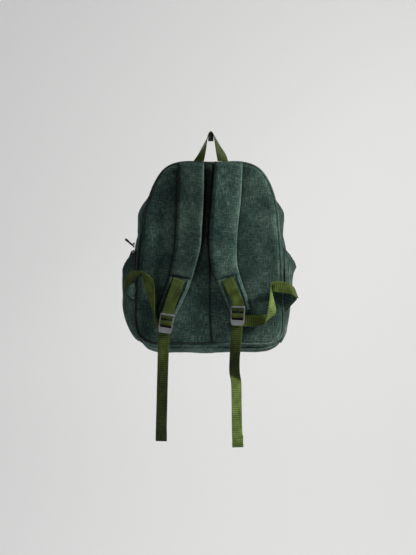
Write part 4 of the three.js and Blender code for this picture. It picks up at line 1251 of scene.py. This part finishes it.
def add_side_pocket(side, sign):
    across = np.linspace(POCKET_NEAR, POCKET_FAR, 56)
    face, outward = pocket_grid(sign, np.linspace(0, 1, 74), across)
    rings = sheet_rings(face + outward * 1.5, face)
    pouch = ring_solid(f"side_pocket_pouch_{side}", rings, SHELL, painted_light_and_wear=wing_shadow(side, rings))
    finish_piece(pouch, "bag", [f"side_pocket_{side}"])
    face, outward = pocket_grid(sign, np.array([-0.05, -0.042, -0.02, 0.0, 0.012]), across)
    thick = np.array([0.9, 1.9, 2.1, 1.9, 1.7])[:, None, None]
    rings = sheet_rings(face + outward * thick, face - outward * 0.3)
    band = ring_solid(f"side_pocket_elastic_{side}", rings, SHELL)
    finish_piece(band, "bag", [f"side_pocket_binding_{side}"])
    down = np.linspace(0.0, 1.0, 80)
    face, outward = pocket_grid(sign, down, np.array([POCKET_NEAR, POCKET_NEAR + 0.004]))
    cord = ring_solid(f"side_pocket_seam_{side}", tube_rings(face[:, 0] + outward[:, 0], 1.25, 8), PIPING)
    finish_piece(cord, "bag")
    face, outward = pocket_grid(sign, down * 0.93 + 0.01, POCKET_FOLD[side] + np.array([0, 0.004]))
    fold = tube_rings(face[:, 0] + outward[:, 0] * 1.2, 1.7, 8)
    # The fold's cord is painted paler: a painted highlight along the ridge.
    fold = ring_solid(f"side_pocket_fold_{side}", fold, PIPING, painted_light_and_wear=0.6)
    finish_piece(fold, "bag")


# ---------------------------------------------------------------- zips
def zip_strip(name, deeps, body, replaces, material=ZIP_TAPE):
    wall_band(name, (-ZIP_END, ZIP_END), deeps, body, replaces, material, 0.9, 5.0, (), 0.6)


def coil_rings(centres, outward, cross, pitch, sides, reach):
    """A flattened spiral of nylon: rings along the turns of a coil that runs down `centres`."""
    steps = np.linalg.norm(np.diff(centres, axis=0), axis=1)
    travel = np.concatenate([[0], np.cumsum(steps)])
    turns = int(travel[-1] / pitch)
    s = np.linspace(0, travel[-1], turns * 8)
    line = np.stack([np.interp(s, travel, centres[:, k]) for k in range(3)], axis=1)
    out = np.stack([np.interp(s, travel, outward[:, k]) for k in range(3)], axis=1)
    side = np.stack([np.interp(s, travel, cross[:, k]) for k in range(3)], axis=1)
    phase = s / travel[-1] * turns * 2 * np.pi
    spiral = line + side * (np.cos(phase) * reach)[:, None] + out * (np.sin(phase) * 0.85)[:, None]
    return tube_rings(spiral, 0.42, sides, up=(0.31, 0.22, 0.92))


def add_main_zip():
    zip_strip("main_zip_tape_back", (0.515, 0.592), "bag", ["main_zip_tape_rear"])
    zip_strip("main_zip_tape_flap", (0.608, 0.685), FLAP_BLEND, ["main_zip_tape_front"])
    around = np.linspace(-ZIP_END + 0.004, ZIP_END - 0.004, 220)
    for name, deep, body, node in (
        ("main_zip_teeth_back", 0.590, "bag", "main_zip_coil_rear"),
        ("main_zip_teeth_flap", 0.610, FLAP_BLEND, "main_zip_coil_front"),
    ):
        centres = WALL.at(around, deep, -0.6)
        outward = -WALL.inward(around, deep)
        cross = np.tile([0, 1.0, 0], (len(around), 1))
        rings = coil_rings(centres, outward, cross, 1.9, 5, 1.0)
        finish_piece(ring_solid(name, rings, COIL), body, [node])


def rounded_block(name, outline, low, high, place, material, bevel=0.6):
    """A block from an outline, between two heights, with rounded edges. place() puts it."""
    work = bmesh.new()
    rings = [[work.verts.new((x, y, h)) for x, y in outline] for h in (low, high)]
    work.faces.new(rings[0][::-1])
    work.faces.new(rings[1])
    for k in range(len(outline)):
        j = (k + 1) % len(outline)
        work.faces.new([rings[0][k], rings[0][j], rings[1][j], rings[1][k]])
    bmesh.ops.recalc_face_normals(work, faces=work.faces)
    bmesh.ops.bevel(work, geom=list(work.edges), offset=bevel, segments=3, affect="EDGES", profile=0.6)
    mesh = bpy.data.meshes.new(name)
    work.to_mesh(mesh)
    work.free()
    co = place(np.array([v.co for v in mesh.vertices]))
    mesh.vertices.foreach_set("co", bag(co).astype(np.float32).ravel())
    mesh.polygons.foreach_set("use_smooth", [True] * len(mesh.polygons))
    mesh.update()
    obj = bpy.data.objects.new(name, mesh)
    bpy.context.scene.collection.objects.link(obj)
    mesh.materials.append(material)
    return obj


SLIDER_OUTLINE = [
    (-2.6, -6), (2.6, -6), (3.9, -3.5), (3.9, 2.5), (2.2, 6), (-2.2, 6), (-3.9, 2.5), (-3.9, -3.5),
]
PULL_LENGTH = 21.0
PULL_STATIONS = [
    (-3.4, 0.8), (-3.0, 1.5), (0, 1.9), (3, 2.2), (9, 2.2), (11.2, 2.25), (11.8, 2.5),
    (12.6, 2.65), (19.2, 2.75), (20.4, 2.5), (21, 1.5), (21.1, 0.5),
]


def centre_of(node):
    low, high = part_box(node)
    return (np.array(low + high) / 2 - ORIGIN) / MM


def add_slider(name, node, pull_node, out, along, slider_body, pull_body, pull_angle):
    """A zip slider with its bridge and cord pull. out points away from the zip."""
    out, along = np.array(out, float), np.array(along, float)
    side = np.cross(along, out)
    centre = centre_of(node)

    def place(co):
        return centre + co[:, :1] * side + co[:, 1:2] * along + co[:, 2:3] * out

    plate = rounded_block(f"{name}_plate", SLIDER_OUTLINE, -1.5, 0.4, place, METAL)
    finish_piece(plate, slider_body, [node])
    arc = np.linspace(-1, 1, 18)
    bridge_line = np.stack([np.zeros(18), arc * 4.4, 2.9 * np.sqrt(np.clip(1 - np.abs(arc) ** 2.6, 0, 1)) - 0.4], axis=1)
    bridge = ring_solid(f"{name}_bridge", tube_rings(place(bridge_line), 0.9, 8, up=tuple(side)), METAL)
    finish_piece(bridge, slider_body)
    hinge = centre + out * 4.2
    direction = math.cos(pull_angle) * out + math.sin(pull_angle) * along
    stations = np.array(PULL_STATIONS)
    line = hinge + stations[:, :1] * direction
    rings = tube_rings(line, stations[:, 1], 12, up=tuple(side))
    finish_piece(ring_solid(f"{name}_pull", rings, PULL), pull_body, [pull_node])


def add_sliders():
    lean = math.atan(0.066)
    out = (-math.cos(lean), 0, math.sin(lean))
    up = (math.sin(lean), 0, math.cos(lean))
    add_slider("upper_slider", "main_slider_upper", "main_zip_pull_upper", out, up, "upper_slider", "upper_pull", 0.72 - lean)
    add_slider("lower_slider", "main_slider_lower", "main_zip_pull_lower", out, up, "lower_slider", "lower_pull", -1.25 - lean)
    add_slider("pocket_slider", "front_pocket_slider", "front_pocket_zip_pull", (0, 0, 1), (1, 0, 0), "pocket_slider", "pocket_pull", -math.pi / 2)


# ---------------------------------------------------------------- front panel and pocket
FRONT_THICK = 3.0


def front_face(z):
    return bag_depth(z) * 0.975 + 0.4


def add_front_panel():
    x, z, s = panel_grid(1.0, (1 / KEYS - 0.03, 11 / KEYS + 0.04), 110, 70, 0.2)
    distance = edge_distance(x, z, 1.0)
    y = front_face(z) + 1.0 + 3.4 * np.sqrt(np.clip(1 - (1 - np.clip(distance / 14, 0, 1)) ** 2, 0, 1))
    behind_pocket = (np.abs(x) < 132) & (z < -256)
    points = np.stack([x, y, z], axis=-1)
    out = np.zeros_like(points)
    out[..., 1] = np.where(behind_pocket, 0.25, 1)
    calm = np.clip(distance / 14, 0, 1)[..., None]
    points = crumpled(points, out * calm, ((90, 2.2), (28, 0.8), (10, 0.2)))
    inner = points.copy()
    inner[..., 1] = front_face(z) - 0.2
    rings = sheet_rings(points, inner)
    flat = rings.reshape(-1, 3)
    uv = lambda i, k: tuple(flat[i * rings.shape[1] + k % rings.shape[1]][[0, 2]])
    panel = ring_solid("front_panel_fabric", rings, SHELL, uv=uv)
    hinge = ("bag", "front_flap", (0, 90, -252), (0, 90, -205))
    finish_piece(panel, hinge, ["front_panel_upper", "front_panel_lower"])
    around = np.linspace(-1, 1, 331)[:-1]
    centre = WALL.at(around, 1.0, -2.4)
    centre[:, 1] += 0.4
    closed = np.vstack([centre[-1:], centre, centre[:1]])
    piping = ring_solid("front_piping_cord", tube_rings(closed, 2.1, 10)[1:-1], PIPING, looped=True)
    finish_piece(piping, hinge, ["front_piping_upper"])


POCKET_TOP, POCKET_BOTTOM, POCKET_HALF = -262.0, -408.0, 128.0


def pocket_outline(half, top, bottom):
    r = 26
    return [
        (0, top), (half * 0.5, top), (half - r, top), (half - r * 0.3, top - r * 0.3), (half, top - r),
        (half, bottom + r), (half - r * 0.3, bottom + r * 0.3), (half - r, bottom), (0, bottom),
    ]


POCKET = Wall(
    pocket_outline(POCKET_HALF, POCKET_TOP, POCKET_BOTTOM),
    pocket_outline(POCKET_HALF + 1, POCKET_TOP, POCKET_BOTTOM),
    pocket_outline(POCKET_HALF - 4, POCKET_TOP - 3, POCKET_BOTTOM + 3),
    lambda z: front_face(z) + FRONT_THICK + 0.2,
    lambda z: mix(20, 32, (POCKET_TOP - np.asarray(z)) / (POCKET_TOP - POCKET_BOTTOM)),
)


def pocket_band(name, span, deeps, material, replaces, thick=1.6, outer=0.0, wrinkle=0.8):
    around = np.linspace(*span, max(8, int(abs(span[1] - span[0]) * 100)))
    deep = np.linspace(*deeps, max(2, int(30 * (deeps[1] - deeps[0]) / 3)))
    grid_a, grid_d = np.meshgrid(around, deep, indexing="ij")
    inward = POCKET.inward(grid_a, grid_d)
    face = POCKET.at(grid_a, grid_d, np.full(grid_a.shape, outer))
    calm = np.clip(np.minimum(grid_d - deeps[0], deeps[1] - grid_d) * 5, 0, 1)[..., None]
    face = crumpled(face, inward * calm, ((25, wrinkle),))
    finish_piece(ring_solid(name, sheet_rings(face, face + inward * thick), material), "bag", replaces)


def add_front_pocket():
    reach = 2.5 / 8
    pocket_band("pocket_gusset_fabric", (reach, 2 - reach), (0, 0.96), SHELL, ["front_pocket_gusset"])
    pocket_band("pocket_zip_tape_back", (-reach, reach), (0, 0.45), ZIP_TAPE, ["front_pocket_zip_tape_rear"], wrinkle=0)
    pocket_band("pocket_zip_tape_front", (-reach, reach), (0.55, 0.96), ZIP_TAPE, ["front_pocket_zip_tape_front"], wrinkle=0)
    around = np.linspace(-reach + 0.02, reach - 0.02, 120)
    centres = POCKET.at(around, 0.5, np.full(len(around), -0.4))
    rings = coil_rings(centres, -POCKET.inward(around, 0.5), np.tile([0, 1.0, 0], (len(around), 1)), 1.9, 5, 1.5)
    finish_piece(ring_solid("pocket_zip_teeth", rings, COIL), "bag", ["front_pocket_zip_coil"])
    edge = POCKET.at(np.linspace(0.09, 0.93, 60), 1.0)
    s = np.linspace(-1, 1, 60)
    s = np.sign(s) * np.abs(s) ** 0.85
    x = edge[:, None, 0] * s[None, :]
    z = np.repeat(edge[:, None, 2], 60, axis=1)
    down = (z - POCKET_TOP) / (POCKET_BOTTOM - POCKET_TOP)
    base = front_face(z) + FRONT_THICK + 0.2 + mix(20, 32, down) * 0.94
    reach_in = np.minimum((1 - np.abs(s[None, :])) * 120, np.minimum(down, 1 - down) * 146)
    y = base + 0.6 + 6.5 * np.sqrt(np.clip(1 - (1 - np.clip(reach_in / 34, 0, 1)) ** 2, 0, 1))
    points = np.stack([x, y, z], axis=-1)
    out = np.zeros_like(points)
    out[..., 1] = 1
    points = crumpled(points, out * np.clip(reach_in / 14, 0, 1)[..., None], ((60, 2.0), (20, 0.8)))
    inner = points.copy()
    inner[..., 1] = base - 0.4
    rings = sheet_rings(points, inner)
    flat = rings.reshape(-1, 3)
    uv = lambda i, k: tuple(flat[i * rings.shape[1] + k % rings.shape[1]][[0, 2]])
    finish_piece(ring_solid("pocket_front_fabric", rings, SHELL, uv=uv), "bag", ["front_pocket_panel"])


# ---------------------------------------------------------------- inside
def add_inside():
    for node in ("back_panel_lining", "laptop_sleeve"):
        material = LINING
        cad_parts[node].data.materials.clear()
        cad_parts[node].data.materials.append(material)
    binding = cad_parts["laptop_sleeve_binding"]
    binding.data.materials.clear()
    binding.data.materials.append(TAPE)


make_camera()
make_stage()
add_back_panel()
add_piping()
add_bottom_piping()
add_main_wall()
add_main_zip()
add_sliders()
add_front_panel()
add_front_pocket()
for side, sign in (("left", -1), ("right", 1)):
    add_side_pocket(side, sign)
    add_wing(side)
    add_strap(side)
    add_strap_webbing(side)
    add_ladder_lock(side)
    add_lock_guard(side)
    add_adjuster(side)
    add_webbing_stitches(side)
add_handle()
add_inside()
